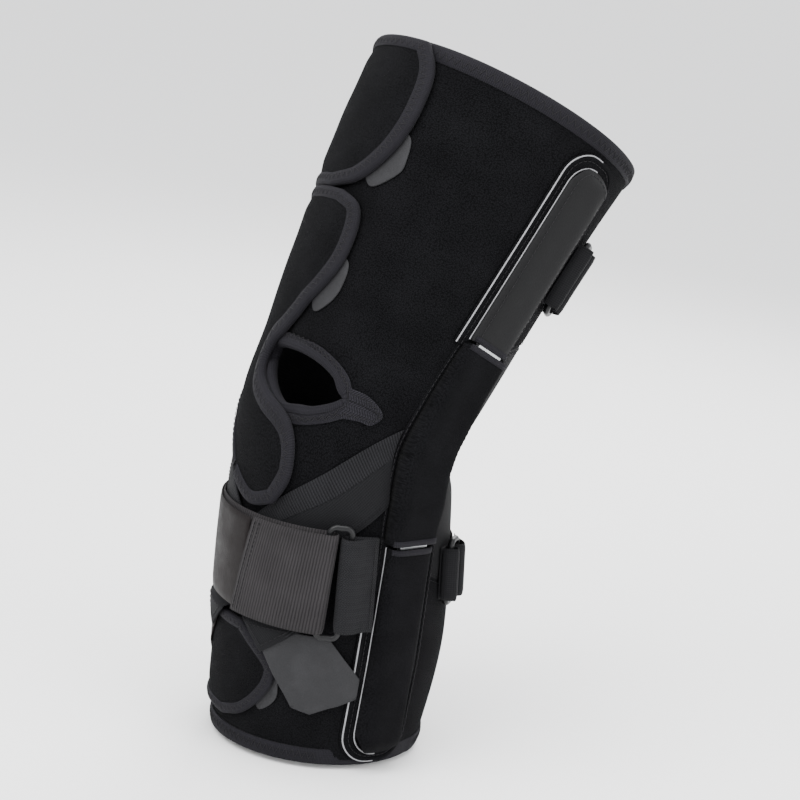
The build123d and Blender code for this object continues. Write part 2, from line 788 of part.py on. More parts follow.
with BuildPart() as far_cross_strap_tab:
    add(cross_tab(1))
    add(layer(shin_flap_outline, 0, end_low), mode=Mode.SUBTRACT)  # beside the shin flap
save(far_cross_strap_tab, "far_cross_strap_tab")

with BuildPart() as near_cross_strap_tab:
    add(cross_tab(-1))
save(near_cross_strap_tab, "near_cross_strap_tab")

# ---------------------------------------------------------------- straps with rings
RING_CORNER = 3.0
RING_SIDE_GAP = 0.8  # strap edge to the ring's short bars
RING_PLAY = 2.0  # a ring is straight, so its straps leave it room over the round leg
bar_offset = (RING_SLOT + RING_BAR) / 2  # ring's middle to its long bars


def leg_point(frame, level, around, height):
    """Point of the leg at a pattern level, an angle from the front and a height."""
    stations = thigh_stations if frame is thigh_frame else calf_stations
    wide, deep, middle = section(stations, level)
    angle = math.radians(around)
    return frame.from_local_coords(
        Vector(
            (wide + height) * math.sin(angle),
            middle - (deep + height) * math.cos(angle),
            graded(level),
        )
    )


def ring_plane(frame, level, around, height):
    """Plane that touches the leg at a height, x round the leg and y along it."""
    along = leg_point(frame, level + 5, around, height) - leg_point(frame, level - 5, around, height)
    round_leg = leg_point(frame, level, around + 3, height) - leg_point(frame, level, around - 3, height)
    return Plane(
        origin=leg_point(frame, level, around, height),
        x_dir=round_leg,
        z_dir=round_leg.cross(along),
    )


def ring(plane, width):
    """Wire ring for a strap of a width: a round bar bent to a rounded rectangle."""
    with BuildSketch(plane) as middle_line:
        RectangleRounded(2 * bar_offset, width + 2 * RING_SIDE_GAP + RING_BAR, RING_CORNER)
    path = middle_line.sketch.face().outer_wire()
    with BuildPart() as loop:
        with BuildSketch(Plane(origin=path @ 0, z_dir=path % 0)):
            Circle(RING_BAR / 2)
        sweep(path=path)
    return loop.part


def turns(frame, level, length):
    """Angle that a length covers round the leg, in degrees."""
    wide, deep, middle = section(thigh_stations if frame is thigh_frame else calf_stations, level)
    return math.degrees(length / ((wide + deep) / 2 + RING_BAR))


def band(frame, level, width, start, stop, inner, outer):
    """A level band of strap between two turns and two heights, cut square to the leg."""
    wide, deep, middle = section(thigh_stations if frame is thigh_frame else calf_stations, level)
    steps = 1 + int(abs(stop - start) // 45)
    rays = [math.radians(start + (stop - start) * step / steps) for step in range(steps + 1)]
    fan = [(4 * wide * math.sin(ray), middle - 4 * deep * math.cos(ray)) for ray in rays]
    with BuildPart() as strap:
        with BuildSketch(frame.offset(graded(level) - width / 2)):
            with BuildLine():
                Polyline((0, middle), *fan, close=True)
            make_face()
        extrude(amount=width)
        add(leg(outer), mode=Mode.INTERSECT)
        add(leg(inner), mode=Mode.SUBTRACT)
    return strap.part


def looped(frame, level, width, bar_turn, side, floor, thick, tail, back, closed):
    """A strap folded round a ring's bar: an under ply to its tail and an upper ply to its back.

    side is the direction from the bar to the strap's own end, 1 for growing turns."""
    room = RING_BAR + 2 * GAP + RING_PLAY
    wall_near = bar_turn - side * turns(frame, level, RING_BAR / 2 + 4 * GAP)
    wall_far = wall_near - side * turns(frame, level, thick)
    top = floor + 2 * thick + room
    add(band(frame, level, width, wall_far, tail, floor, floor + thick))
    add(band(frame, level, width, wall_far, back, floor + thick + room, top))
    add(band(frame, level, width, wall_far, wall_near, floor, top))
    if closed:
        add(band(frame, level, width, back - side * turns(frame, level, thick), back, floor, top))


SHIN_LEVEL, SHIN_RING_TURN = -59.5, 52.0
shin_floor = over_high + GAP
shin_step = turns(calf_frame, SHIN_LEVEL, bar_offset)
shin_ring_height = shin_floor + WEBBING + 2 * GAP + RING_BAR / 2
shin_top_low = shin_floor + WEBBING + RING_BAR + 2 * GAP + RING_PLAY

with BuildPart() as shin_strap:
    looped(
        calf_frame, SHIN_LEVEL, SHIN_STRAP_WIDTH, SHIN_RING_TURN - shin_step, -1,
        shin_floor, WEBBING, -69, -8, False,
    )
save(shin_strap, "shin_strap")

with BuildPart() as shin_strap_tab:
    add(band(calf_frame, SHIN_LEVEL, 46, -76, 0, shin_top_low - GAP - TAB_CLOTH, shin_top_low - GAP))
save(shin_strap_tab, "shin_strap_tab")

shin_ring_plane = ring_plane(calf_frame, SHIN_LEVEL, SHIN_RING_TURN, shin_ring_height)
with BuildPart() as shin_strap_ring:
    add(ring(shin_ring_plane, SHIN_STRAP_WIDTH))
save(shin_strap_ring, "shin_strap_ring")

with BuildPart() as shin_strap_anchor:
    looped(
        calf_frame, SHIN_LEVEL, SHIN_STRAP_WIDTH - 3, SHIN_RING_TURN + shin_step, 1,
        shin_floor, WEBBING, 71, SHIN_RING_TURN + 2 * shin_step, True,
    )
save(shin_strap_anchor, "shin_strap_anchor")

BACK_RING_TURN = 126.0
BACK_END_TURN = 243.0
ANCHOR_END_TURN = 116.0
back_ring_height = GAP + STRAP_CLOTH + GAP + RING_BAR / 2


def back_strap(frame, level, width):
    """Strap across the back of the leg, folded round its ring and sewn at the far side."""
    step = turns(frame, level, bar_offset)
    looped(
        frame, level, width, BACK_RING_TURN + step, 1,
        GAP, STRAP_CLOTH, BACK_END_TURN, BACK_RING_TURN + 4 * step, True,
    )


def back_anchor(frame, level, width):
    """Short loop that holds the ring of a back strap behind the outer pocket."""
    step = turns(frame, level, bar_offset)
    looped(
        frame, level, width, BACK_RING_TURN - step, -1,
        GAP, STRAP_CLOTH, ANCHOR_END_TURN, ANCHOR_END_TURN, True,
    )


THIGH_STRAP = (thigh_frame, 107.0, 32.0)
CALF_STRAP = (calf_frame, -60.0, 26.0)

with BuildPart() as thigh_back_strap:
    back_strap(*THIGH_STRAP)
save(thigh_back_strap, "thigh_back_strap")

with BuildPart() as thigh_strap_anchor:
    back_anchor(*THIGH_STRAP)
save(thigh_strap_anchor, "thigh_strap_anchor")

with BuildPart() as thigh_strap_ring:
    add(ring(ring_plane(thigh_frame, THIGH_STRAP[1], BACK_RING_TURN, back_ring_height), THIGH_STRAP[2]))
save(thigh_strap_ring, "thigh_strap_ring")

with BuildPart() as calf_back_strap:
    back_strap(*CALF_STRAP)
save(calf_back_strap, "calf_back_strap")

with BuildPart() as calf_strap_anchor:
    back_anchor(*CALF_STRAP)
save(calf_strap_anchor, "calf_strap_anchor")

with BuildPart() as calf_strap_ring:
    add(ring(ring_plane(calf_frame, CALF_STRAP[1], BACK_RING_TURN, back_ring_height), CALF_STRAP[2]))
save(calf_strap_ring, "calf_strap_ring")
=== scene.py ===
"""Hinged knee brace: cloth, straps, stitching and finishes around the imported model."""
import math

import bpy
import numpy as np
from mathutils import Matrix, Vector, geometry


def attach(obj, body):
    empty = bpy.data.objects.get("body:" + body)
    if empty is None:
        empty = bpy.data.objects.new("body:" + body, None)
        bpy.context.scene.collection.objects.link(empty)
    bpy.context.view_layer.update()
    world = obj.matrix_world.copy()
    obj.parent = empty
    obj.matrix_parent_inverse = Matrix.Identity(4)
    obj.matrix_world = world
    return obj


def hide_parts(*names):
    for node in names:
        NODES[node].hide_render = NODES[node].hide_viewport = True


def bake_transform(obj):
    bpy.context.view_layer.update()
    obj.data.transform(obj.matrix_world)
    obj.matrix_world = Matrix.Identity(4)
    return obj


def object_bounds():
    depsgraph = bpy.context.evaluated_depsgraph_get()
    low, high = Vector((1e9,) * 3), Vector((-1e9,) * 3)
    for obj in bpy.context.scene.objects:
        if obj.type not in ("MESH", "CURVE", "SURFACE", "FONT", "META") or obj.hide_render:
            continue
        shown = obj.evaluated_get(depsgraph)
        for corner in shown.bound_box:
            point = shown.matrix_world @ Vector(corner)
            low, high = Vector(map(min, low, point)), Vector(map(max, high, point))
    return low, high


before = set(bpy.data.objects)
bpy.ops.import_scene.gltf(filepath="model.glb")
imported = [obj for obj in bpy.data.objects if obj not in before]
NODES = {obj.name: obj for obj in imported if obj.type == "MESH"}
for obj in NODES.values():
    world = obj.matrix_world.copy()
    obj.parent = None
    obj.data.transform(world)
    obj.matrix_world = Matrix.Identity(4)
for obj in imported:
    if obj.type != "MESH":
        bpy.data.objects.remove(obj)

bl_info = {
    "name": "Hinged knee brace",
    "version": (1, 0, 0),
    "blender": (4, 5, 0),
    "location": "3D View > Sidebar > Brace",
    "description": "Sews the cloth, straps and trims of a hinged knee brace onto its frame",
    "category": "Add Mesh",
}

CAD_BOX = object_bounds()
MM = 0.001

# ------------------------------------------------------------------ form of the leg
REST_BEND = math.radians(26)
THIGH_UP = np.array((0, math.sin(REST_BEND), math.cos(REST_BEND)))
LINK_UP = np.array((0, math.sin(REST_BEND / 2), math.cos(REST_BEND / 2)))
CALF_UP = np.array((0.0, 0.0, 1.0))
HALF_PITCH = 8.5
ACROSS = np.array((1.0, 0.0, 0.0))

# level along the leg, axis, half width, half depth, middle behind the axis; millimetres
STATIONS = (
    (-156.0, CALF_UP, 47.1, 51.5, 3.2),
    (-100.0, CALF_UP, 50.0, 56.5, 5.5),
    (-50.0, CALF_UP, 50.0, 55.0, 1.5),
    (-25.0, CALF_UP, 49.3, 53.0, -0.5),
    (0.0, LINK_UP, 47.5, 50.5, -3.5),
    (25.0, THIGH_UP, 50.1, 53.4, -3.4),
    (55.0, THIGH_UP, 53.3, 56.3, -5.0),
    (110.0, THIGH_UP, 59.0, 61.9, -7.5),
    (170.0, THIGH_UP, 65.3, 66.9, -6.3),
)
LEVELS = np.array([row[0] for row in STATIONS])
UPS = np.array([row[1] for row in STATIONS])
BACKS = np.array([(0, up[2], -up[1]) for up in UPS])
ORIGINS = np.array(
    [(LINK_UP - up) * HALF_PITCH * np.sign(level) for level, up in zip(LEVELS, UPS)]
)
SECTIONS = np.array([row[2:] for row in STATIONS])
CLOTH = 3.6
TURN_MM = 0.93  # cloth that one degree covers round the knee
ROUND = 360 * TURN_MM
HALF_ROUND = 180 * TURN_MM
MEETING = 1e-5  # points closer than this many metres are one
SIDES = (("near", 1), ("far", -1))


def ease(x, low, high):
    """0 below low, 1 above high and smooth between them."""
    t = np.clip((np.asarray(x, float) - low) / (high - low), 0, 1)
    return t * t * (3 - 2 * t)


def section(level):
    """Half width, half depth and middle of the leg at some levels."""
    return [np.interp(level, LEVELS, SECTIONS[:, i]) for i in range(3)]


def through(level, points):
    """Smooth line through one point per station, taken at each level; points is (stations, n, 3)."""
    level = np.asarray(level, float)
    gaps = np.diff(LEVELS)[:, None, None]
    rates = np.diff(points, axis=0) / gaps
    slopes = np.empty_like(points)
    slopes[0], slopes[-1] = rates[0], rates[-1]
    slopes[1:-1] = (rates[1:] * gaps[:-1] + rates[:-1] * gaps[1:]) / (gaps[:-1] + gaps[1:])
    k = np.clip(np.searchsorted(LEVELS, level) - 1, 0, len(LEVELS) - 2)
    n = np.arange(len(level))
    gap = (LEVELS[k + 1] - LEVELS[k])[:, None]
    t = (level - LEVELS[k])[:, None] / gap
    return (
        points[k, n] * (2 * t**3 - 3 * t**2 + 1)
        + slopes[k, n] * gap * (t**3 - 2 * t**2 + t)
        + points[k + 1, n] * (3 * t**2 - 2 * t**3)
        + slopes[k + 1, n] * gap * (t**3 - t**2)
    )


def stand(level, side, back):
    """Points in metres from a level, and what each station gives across and behind the axis."""
    spots = (
        (ORIGINS + UPS * LEVELS[:, None])[:, None, :]
        + side[..., None] * ACROSS
        + back[..., None] * BACKS[:, None, :]
    )
    return through(level, spots) * MM


def round_leg(around, level, height):
    """Points over the wrap: turn from the front in cloth millimetres, level and height."""
    turn = np.radians(np.asarray(around, float) / TURN_MM)[None, :]
    height = np.broadcast_to(np.asarray(height, float), turn.shape[1:])[None, :]
    wide, deep, middle = (SECTIONS[:, i][:, None] for i in range(3))
    side = (wide + height) * np.sin(turn)
    back = middle - (deep + height) * np.cos(turn)
    return stand(level, side, back)


def leg_side(back, level):
    """How far out the wrap's face is at a distance behind the axis."""
    wide, deep, middle = section(level)
    return wide * np.sqrt(np.clip(1 - ((np.asarray(back, float) - middle) / deep) ** 2, 0.05, 1))


def beside(sign):
    """Placing for what lies on one side of the leg: behind the axis, level, height out from the wrap."""

    def place(back, level, height):
        out = (leg_side(back, level) + height) * sign
        rows = len(LEVELS)
        return stand(level, np.tile(out, (rows, 1)), np.tile(np.asarray(back, float), (rows, 1)))

    return place


# ------------------------------------------------------------------ outlines and cloth
def flowing(points, step):
    """Even points along a smooth line through some points, or a straight one through two."""
    p = np.array(points, float)
    if len(p) > 2:
        ends = [2 * p[0] - p[1], *p, 2 * p[-1] - p[-2]]
        fine = []
        for a, b, c, d in zip(ends, ends[1:], ends[2:], ends[3:]):
            t = np.linspace(0, 1, 24, endpoint=False)[:, None]
            square, cube = 2 * a - 5 * b + 4 * c - d, 3 * b - a - 3 * c + d
            fine.append(0.5 * (2 * b + (c - a) * t + square * t**2 + cube * t**3))
        p = np.vstack([*fine, p[-1:]])
    lengths = np.concatenate([[0], np.cumsum(np.linalg.norm(np.diff(p, axis=0), axis=1))])
    count = max(2, int(round(lengths[-1] / step)) + 1)
    at = np.linspace(0, lengths[-1], count)
    return np.column_stack([np.interp(at, lengths, p[:, i]) for i in range(2)])


def turned(*spots):
    """(level, turn) pairs as (around, level) in cloth millimetres."""
    return [(turn * TURN_MM, level) for level, turn in spots]


class Outline:
    """Closed loop of runs; each run is (points, kind), free where it is rounded, cut or join where it isn't."""

    def __init__(self, runs, step):
        self.points, self.free, self.join = [], [], []
        for points, kind in runs:
            line = flowing(points, step)
            self.points += list(line[:-1])
            self.free += [kind == "free"] * (len(line) - 1)
            self.join += [kind == "join"] * (len(line) - 1)
        self.points = np.array(self.points)
        self.after = np.roll(self.points, -1, axis=0)


def gaps_to(points, starts, ends):
    """Distance from each point to the nearest of some straight pieces."""
    best = np.full(len(points), 1e9)
    for i in range(0, len(points), 4000):
        p = points[i : i + 4000, None, :]
        d = ends - starts
        t = np.clip(((p - starts) * d).sum(2) / np.maximum((d**2).sum(1), 1e-12), 0, 1)
        best[i : i + 4000] = np.linalg.norm(starts + t[..., None] * d - p, axis=2).min(1)
    return best


def inside(points, outlines):
    """Whether each point is within the outer loop and out of the holes."""
    hits = np.zeros(len(points), int)
    for outline in outlines:
        for (ax, ay), (bx, by) in zip(outline.points, outline.after):
            spans = (ay > points[:, 1]) != (by > points[:, 1])
            if by != ay:
                hits += spans & (points[:, 0] < (bx - ax) * (points[:, 1] - ay) / (by - ay) + ax)
    return hits % 2 == 1


def flat_mesh(outlines, step, roll, lines=()):
    """Even triangles over an outline, with closer rows along its rounded edges."""
    starts = np.vstack([o.points for o in outlines])
    ends = np.vstack([o.after for o in outlines])
    free = np.concatenate([o.free for o in outlines]).astype(bool)
    low, high = starts.min(0), starts.max(0)
    rows = np.arange(low[1], high[1] + step, step * 0.87)
    grid = [
        (x + (i % 2) * step / 2, y)
        for i, y in enumerate(rows)
        for x in np.arange(low[0], high[0] + step, step)
    ]
    grid = np.array(grid)
    grid = grid[inside(grid, outlines)]
    all_gap = gaps_to(grid, starts, ends)
    keep = all_gap > step * 0.5
    if free.any():
        keep &= gaps_to(grid, starts[free], ends[free]) > roll + step * 0.4
    line_points = [np.array(line, float) for line in lines]
    if line_points:
        a = np.vstack([line[:-1] for line in line_points])
        b = np.vstack([line[1:] for line in line_points])
        keep &= gaps_to(grid, a, b) > step * 0.45
    grid = grid[keep]
    rims = []
    for o in outlines:
        along = o.after - o.points
        normal = np.column_stack([-along[:, 1], along[:, 0]])
        normal /= np.maximum(np.linalg.norm(normal, axis=1), 1e-9)[:, None]
        both = normal + np.roll(normal, 1, axis=0)
        both /= np.maximum(np.linalg.norm(both, axis=1), 1e-9)[:, None]
        fit = np.array(o.free, bool)
        fit &= np.roll(fit, 1)
        for share in (0.12, 0.45, 1.0):
            for sign in (1, -1):
                spot = (o.points + both * sign * roll * share)[fit]
                if len(spot):
                    spot = spot[inside(spot, outlines)]
                if len(spot):
                    near = gaps_to(spot, starts[free], ends[free])
                    spot = spot[near > roll * share * 0.93]
                if len(spot):
                    rims.append(spot[gaps_to(spot, starts, ends) > roll * share * 0.5])
    loose = np.vstack([grid, *rims]) if rims else grid
    points, edges = [], []
    for o in outlines:
        first = len(points)
        points += list(o.points)
        edges += [(first + i, first + (i + 1) % len(o.points)) for i in range(len(o.points))]
    for line in line_points:
        first = len(points)
        points += list(line)
        edges += [(first + i, first + i + 1) for i in range(len(line) - 1)]
    points += list(loose)
    made = geometry.delaunay_2d_cdt([Vector(p) for p in points], edges, [], 0, 1e-4)
    spots = np.array([tuple(v) for v in made[0]])
    tris = np.array([f for f in made[2] if len(f) == 3], int)
    tris = tris[inside(spots[tris].mean(1), outlines)]
    used = np.unique(tris)
    back = np.full(len(spots), -1)
    back[used] = np.arange(len(used))
    spots, tris = spots[used], back[tris]
    flat = spots[tris]
    turn = np.cross(flat[:, 1] - flat[:, 0], flat[:, 2] - flat[:, 0])
    tris[turn < 0] = tris[turn < 0][:, ::-1]
    tris = tris[np.abs(turn) > 1e-6]
    dist = gaps_to(spots, starts[free], ends[free]) if free.any() else np.full(len(spots), 1e3)
    return spots, tris, dist


# share of the stitch's length, lift off the cloth, thickness
THREAD_RINGS = ((0.0, -0.25, 0.55), (0.18, 0.55, 0.95), (0.5, 1.0, 1.0), (0.82, 0.55, 0.95), (1.0, -0.25, 0.55))


class Sewn:
    """A piece in the making: cloth, tapes and threads that end up in one mesh."""

    def __init__(self, name):
        self.name = name
        self.verts, self.faces, self.uvs, self.mats, self.kinds = [], [], [], [], []
        self.count = 0

    def add(self, verts, faces, uvs, material):
        """Adds faces; uvs holds one pair per vertex, in metres."""
        if material not in self.kinds:
            self.kinds.append(material)
        index = self.kinds.index(material)
        self.verts.append(np.asarray(verts, float))
        self.uvs.append(np.asarray(uvs, float))
        self.faces += [tuple(int(i) + self.count for i in face) for face in faces]
        self.mats += [index] * len(faces)
        self.count += len(verts)

    def cloth(
        self, outlines, place, low, high, step, roll, material, under=None, lines=(), zone=None, uv_turn=0.0
    ):
        """Closed layer of cloth between two heights, rounded off along its free edges."""
        spots, tris, dist = flat_mesh(outlines, step, roll, lines)
        around, level = spots[:, 0], spots[:, 1]
        bottom = low(around, level, dist) if callable(low) else np.full(len(spots), float(low))
        top = high(around, level, dist) if callable(high) else np.full(len(spots), float(high))
        full = np.sqrt(np.clip(1 - (1 - np.clip(dist / roll, 0, 1)) ** 2, 0, 1))
        middle = (top + bottom) / 2
        upper = place(around, level, middle + (top - middle) * full)
        lower = place(around, level, middle - (middle - bottom) * full)
        edge = dist < 1e-3
        n = len(spots)
        second = np.arange(n) + n
        second[edge] = np.arange(n)[edge]
        c, s = math.cos(uv_turn), math.sin(uv_turn)
        uv = np.column_stack([around * c + level * s, level * c - around * s]) * MM
        both = np.vstack([upper, lower])
        whole = ~edge[tris].all(axis=1)
        tris = tris[whole]
        outward = self.faces_out(both, tris, place, spots)
        order = tris if outward else tris[:, ::-1]
        walls = []
        table = {(round(x, 3), round(y, 3)): i for i, (x, y) in enumerate(spots)}
        for o in outlines:
            for i in range(len(o.points)):
                if not o.free[i] and not o.join[i]:
                    a = table.get((round(o.points[i][0], 3), round(o.points[i][1], 3)))
                    b = table.get((round(o.after[i][0], 3), round(o.after[i][1], 3)))
                    if a is not None and b is not None:
                        walls.append((a, b, second[b], second[a]))
        uvs = np.vstack([uv, uv])
        if zone is None:
            self.add(both, [*map(tuple, order), *walls], uvs, material)
            start = self.count - len(both)
        else:
            middle_of = spots[tris].mean(1)
            kinds = zone(middle_of[:, 0], middle_of[:, 1])
            start = self.count
            self.add(both, walls, uvs, material)
            for kind in sorted(set(kinds)):
                if kind not in self.kinds:
                    self.kinds.append(kind)
                chosen = order[np.array(kinds) == kind]
                self.faces += [tuple(int(i) + start for i in face) for face in chosen]
                self.mats += [self.kinds.index(kind)] * len(chosen)
        under = under or material
        if under not in self.kinds:
            self.kinds.append(under)
        flipped = second[order[:, ::-1]]
        self.faces += [tuple(int(i) + start for i in face) for face in flipped]
        self.mats += [self.kinds.index(under)] * len(flipped)
        return self

    @staticmethod
    def faces_out(verts, tris, place, spots):
        """Whether triangles of the upper side face away from the leg."""
        t = tris[len(tris) // 2]
        a, b, c = verts[t[0]], verts[t[1]], verts[t[2]]
        m = spots[t].mean(0)
        up = place(m[:1], m[1:], np.array([1.0]))[0] - place(m[:1], m[1:], np.array([0.0]))[0]
        return np.dot(np.cross(b - a, c - a), up) > 0

    def tape(self, line, profile, place, material, closed=False, heights=None, side=1, widths=None):
        """A tape swept along a line of the cloth: profile is (distance in from the line, height)."""
        line = np.asarray(line, float)
        if closed:
            along = np.roll(line, -1, axis=0) - np.roll(line, 1, axis=0)
            along[:, 0] -= ROUND * np.round(along[:, 0] / ROUND)
        else:
            along = np.gradient(line, axis=0)
        normal = np.column_stack([-along[:, 1], along[:, 0]]) * side
        normal /= np.maximum(np.linalg.norm(normal, axis=1), 1e-9)[:, None]
        n, m = len(line), len(profile)
        spread = np.ones(n) if widths is None else widths
        rows = []
        for inward, height in profile:
            spot = line + normal * (inward * spread)[:, None]
            tall = np.full(n, float(height))
            if heights is not None:
                tall = heights(spot[:, 0], spot[:, 1], tall)
            rows.append(place(spot[:, 0], spot[:, 1], tall))
        verts = np.stack(rows, axis=1).reshape(-1, 3)
        step = np.linalg.norm(np.diff(line, axis=0), axis=1)
        run = np.concatenate([[0], np.cumsum(step)]) * MM
        wide = np.concatenate([[0], np.cumsum(np.linalg.norm(np.diff(np.array(profile), axis=0), axis=1))]) * MM
        uvs = np.array([(r, w) for r in run for w in wide])
        faces = []
        for i in range(n if closed else n - 1):
            j = (i + 1) % n
            for k in range(m):
                l = (k + 1) % m
                faces.append((i * m + k, j * m + k, j * m + l, i * m + l))
        if not closed:
            faces.append(tuple(range(m - 1, -1, -1)))
            faces.append(tuple((n - 1) * m + k for k in range(m)))
        self.add(verts, self.outward(verts, faces, n, m), uvs, material)

    @staticmethod
    def outward(verts, faces, n, m):
        """Turns the faces of a swept loop so that they look away from its own middle."""
        middle = verts.reshape(n, m, 3).mean(1)
        score = 0.0
        for face in faces[: min(len(faces), 4 * m)]:
            if len(face) != 4:
                continue
            a, b, c, d = (verts[i] for i in face)
            score += np.dot(np.cross(c - a, d - b), (a + b + c + d) / 4 - middle[face[0] // m])
        return faces if score > 0 else [face[::-1] for face in faces]

    def stitches(self, starts, stops, rises, radius, material, bow=0.16):
        """Short threads from point to point, arched over the cloth."""
        starts, stops, rises = (np.asarray(x, float) for x in (starts, stops, rises))
        d = stops - starts
        d /= np.maximum(np.linalg.norm(d, axis=1), 1e-9)[:, None]
        side = np.cross(d, rises)
        side /= np.maximum(np.linalg.norm(side, axis=1), 1e-9)[:, None]
        rings = []
        for share, lift, size in THREAD_RINGS:
            centre = starts + (stops - starts) * share + rises * (lift * bow * MM)
            for k in range(5):
                turn = 2 * math.pi * k / 5
                rings.append(centre + (side * math.cos(turn) + rises * math.sin(turn)) * radius * size * MM)
        verts = np.stack(rings, axis=1)
        n, m = verts.shape[:2]
        faces = []
        for i in range(n):
            for r in range(4):
                for k in range(5):
                    a, b = i * m + r * 5 + k, i * m + r * 5 + (k + 1) % 5
                    faces.append((a, b, b + 5, a + 5))
            faces.append(tuple(i * m + k for k in range(4, -1, -1)))
            faces.append(tuple(i * m + m - 5 + k for k in range(5)))
        flat = verts.reshape(-1, 3)
        uvs = np.column_stack([np.tile(np.linspace(0, 0.003, m), n), np.zeros(n * m)])
        self.add(flat, faces, uvs, material)

    def seam(self, line, height, place, material="thread", pitch=2.6, gap=0.5, radius=0.17):
        """A straight row of stitches along a line of the cloth."""
        line = flowing(line, pitch) if len(line) <= 12 else np.asarray(line, float)
        lengths = np.concatenate([[0], np.cumsum(np.linalg.norm(np.diff(line, axis=0), axis=1))])
        count = max(1, int(lengths[-1] / pitch))
        at = np.linspace(0, lengths[-1], count + 1)
        share = gap / pitch / 2
        a = at[:-1] + (at[1:] - at[:-1]) * share
        b = at[:-1] + (at[1:] - at[:-1]) * (1 - share)
        self.thread(line, lengths, a, b, 0 * a, 0 * b, height, place, material, radius)

    def zigzag(self, line, low, high, height, place, material="thread", pitch=1.9, radius=0.15, side=1):
        """Zigzag stitches along a line of the cloth, between two distances in from it."""
        line = np.asarray(line, float)
        lengths = np.concatenate([[0], np.cumsum(np.linalg.norm(np.diff(line, axis=0), axis=1))])
        count = max(2, int(lengths[-1] / pitch))
        at = np.linspace(0, lengths[-1], count + 1)
        sway = np.where(np.arange(count + 1) % 2 == 0, low, high) * side
        self.thread(line, lengths, at[:-1], at[1:], sway[:-1], sway[1:], height, place, material, radius)

    def thread(self, line, lengths, a, b, sway_a, sway_b, height, place, material, radius):
        """Stitches between two places along a line, each swayed to its side."""
        along = np.gradient(line, axis=0)
        normal = np.column_stack([-along[:, 1], along[:, 0]])
        normal /= np.maximum(np.linalg.norm(normal, axis=1), 1e-9)[:, None]

        def spot(at, sway):
            p = np.column_stack([np.interp(at, lengths, line[:, i]) for i in range(2)])
            q = np.column_stack([np.interp(at, lengths, normal[:, i]) for i in range(2)])
            p = p + q * sway[:, None]
            tall = height(p[:, 0], p[:, 1]) if callable(height) else np.full(len(p), float(height))
            return p, tall

        pa, ha = spot(a, np.asarray(sway_a, float))
        pb, hb = spot(b, np.asarray(sway_b, float))
        starts, stops = place(pa[:, 0], pa[:, 1], ha), place(pb[:, 0], pb[:, 1], hb)
        rises = place(pa[:, 0], pa[:, 1], ha + 1) - starts
        rises /= np.maximum(np.linalg.norm(rises, axis=1), 1e-12)[:, None]
        self.stitches(starts, stops, rises, radius, material)

    def ribbon(self, path, level, width, thick, material, place, across=14, lean=0.0):
        """A strap that follows a path of (around, height) at a level, folds and all; its end leans."""
        path = np.asarray(path, float)
        levels = level + width / 2 * np.linspace(-1, 1, across)
        reach = np.linspace(0, 1, len(path)) ** 3 * lean
        middle = np.array(
            [place(path[:, 0] + reach * (y - level), np.full(len(path), y), path[:, 1]) for y in levels]
        )
        along = np.gradient(middle, axis=1)
        over = np.gradient(middle, axis=0)
        normal = np.cross(along, over)
        normal /= np.maximum(np.linalg.norm(normal, axis=2), 1e-12)[..., None]
        edge = np.sqrt(1 - np.abs(np.linspace(-1, 1, across)) ** 14)[:, None, None]
        edge = 0.35 + 0.65 * edge
        run = np.concatenate([[0], np.cumsum(np.linalg.norm(np.diff(middle[across // 2], axis=0), axis=1))])
        tips = np.minimum(run, run[-1] - run) / MM
        tip = (0.4 + 0.6 * np.clip(tips / 0.8, 0, 1) ** 0.5)[None, :, None]
        up = middle + normal * edge * tip * thick / 2 * MM
        down = middle - normal * edge * tip * thick / 2 * MM
        n, m = across, len(path)
        uvs = np.array([(r, y * MM) for y in levels for r in run])
        verts = np.vstack([up.reshape(-1, 3), down.reshape(-1, 3)])
        faces = []
        for i in range(n - 1):
            for j in range(m - 1):
                a = i * m + j
                faces.append((a, a + m, a + m + 1, a + 1))
                a += n * m
                faces.append((a, a + 1, a + m + 1, a + m))
        for j in range(m - 1):
            for row, turn in ((0, 1), (n - 1, -1)):
                a = row * m + j
                faces.append((a, a + 1, a + 1 + n * m, a + n * m)[::turn])
        for i in range(n - 1):
            for column, turn in ((0, -1), (m - 1, 1)):
                a = i * m + column
                faces.append((a, a + m, a + m + n * m, a + n * m)[::turn])
        a, b, c = verts[faces[0][0]], verts[faces[0][1]], verts[faces[0][2]]
        if np.dot(np.cross(b - a, c - a), normal[0, 0]) < 0:
            faces = [face[::-1] for face in faces]
        self.add(verts, faces, np.vstack([uvs, uvs]), material)
        self.length = run[-1]
        return self

    def mesh(self, name, verts, faces, uvs, mats):
        data = bpy.data.meshes.new(name)
        data.from_pydata([tuple(v) for v in verts], [], faces)
        data.polygons.foreach_set("material_index", mats)
        data.polygons.foreach_set("use_smooth", [True] * len(faces))
        layer = data.uv_layers.new(name="Cloth")
        loops = np.empty(len(data.loops), int)
        data.loops.foreach_get("vertex_index", loops)
        layer.data.foreach_set("uv", uvs[loops].ravel())
        for kind in self.kinds:
            data.materials.append(finish_of(kind))
        data.validate()
        data.update()
        piece = bpy.data.objects.new(name, data)
        bpy.context.scene.collection.objects.link(piece)
        return piece

    @staticmethod
    def first_at(verts):
        """For each point, the first one at its place, as where a sleeve closes on itself."""
        keys = {}
        spots = map(tuple, np.round(verts / MEETING).astype(np.int64))
        return np.array([keys.setdefault(key, i) for i, key in enumerate(spots)])

    def done(self, replaces=(), body=None, blend=None):
        """Makes the object, hides the parts it replaces and ties it to its body, if it has one."""
        verts, uvs = np.vstack(self.verts), np.vstack(self.uvs)
        piece = self.mesh(self.name, verts, self.faces, uvs, self.mats)
        settle(piece, replaces, body, blend)
        return piece

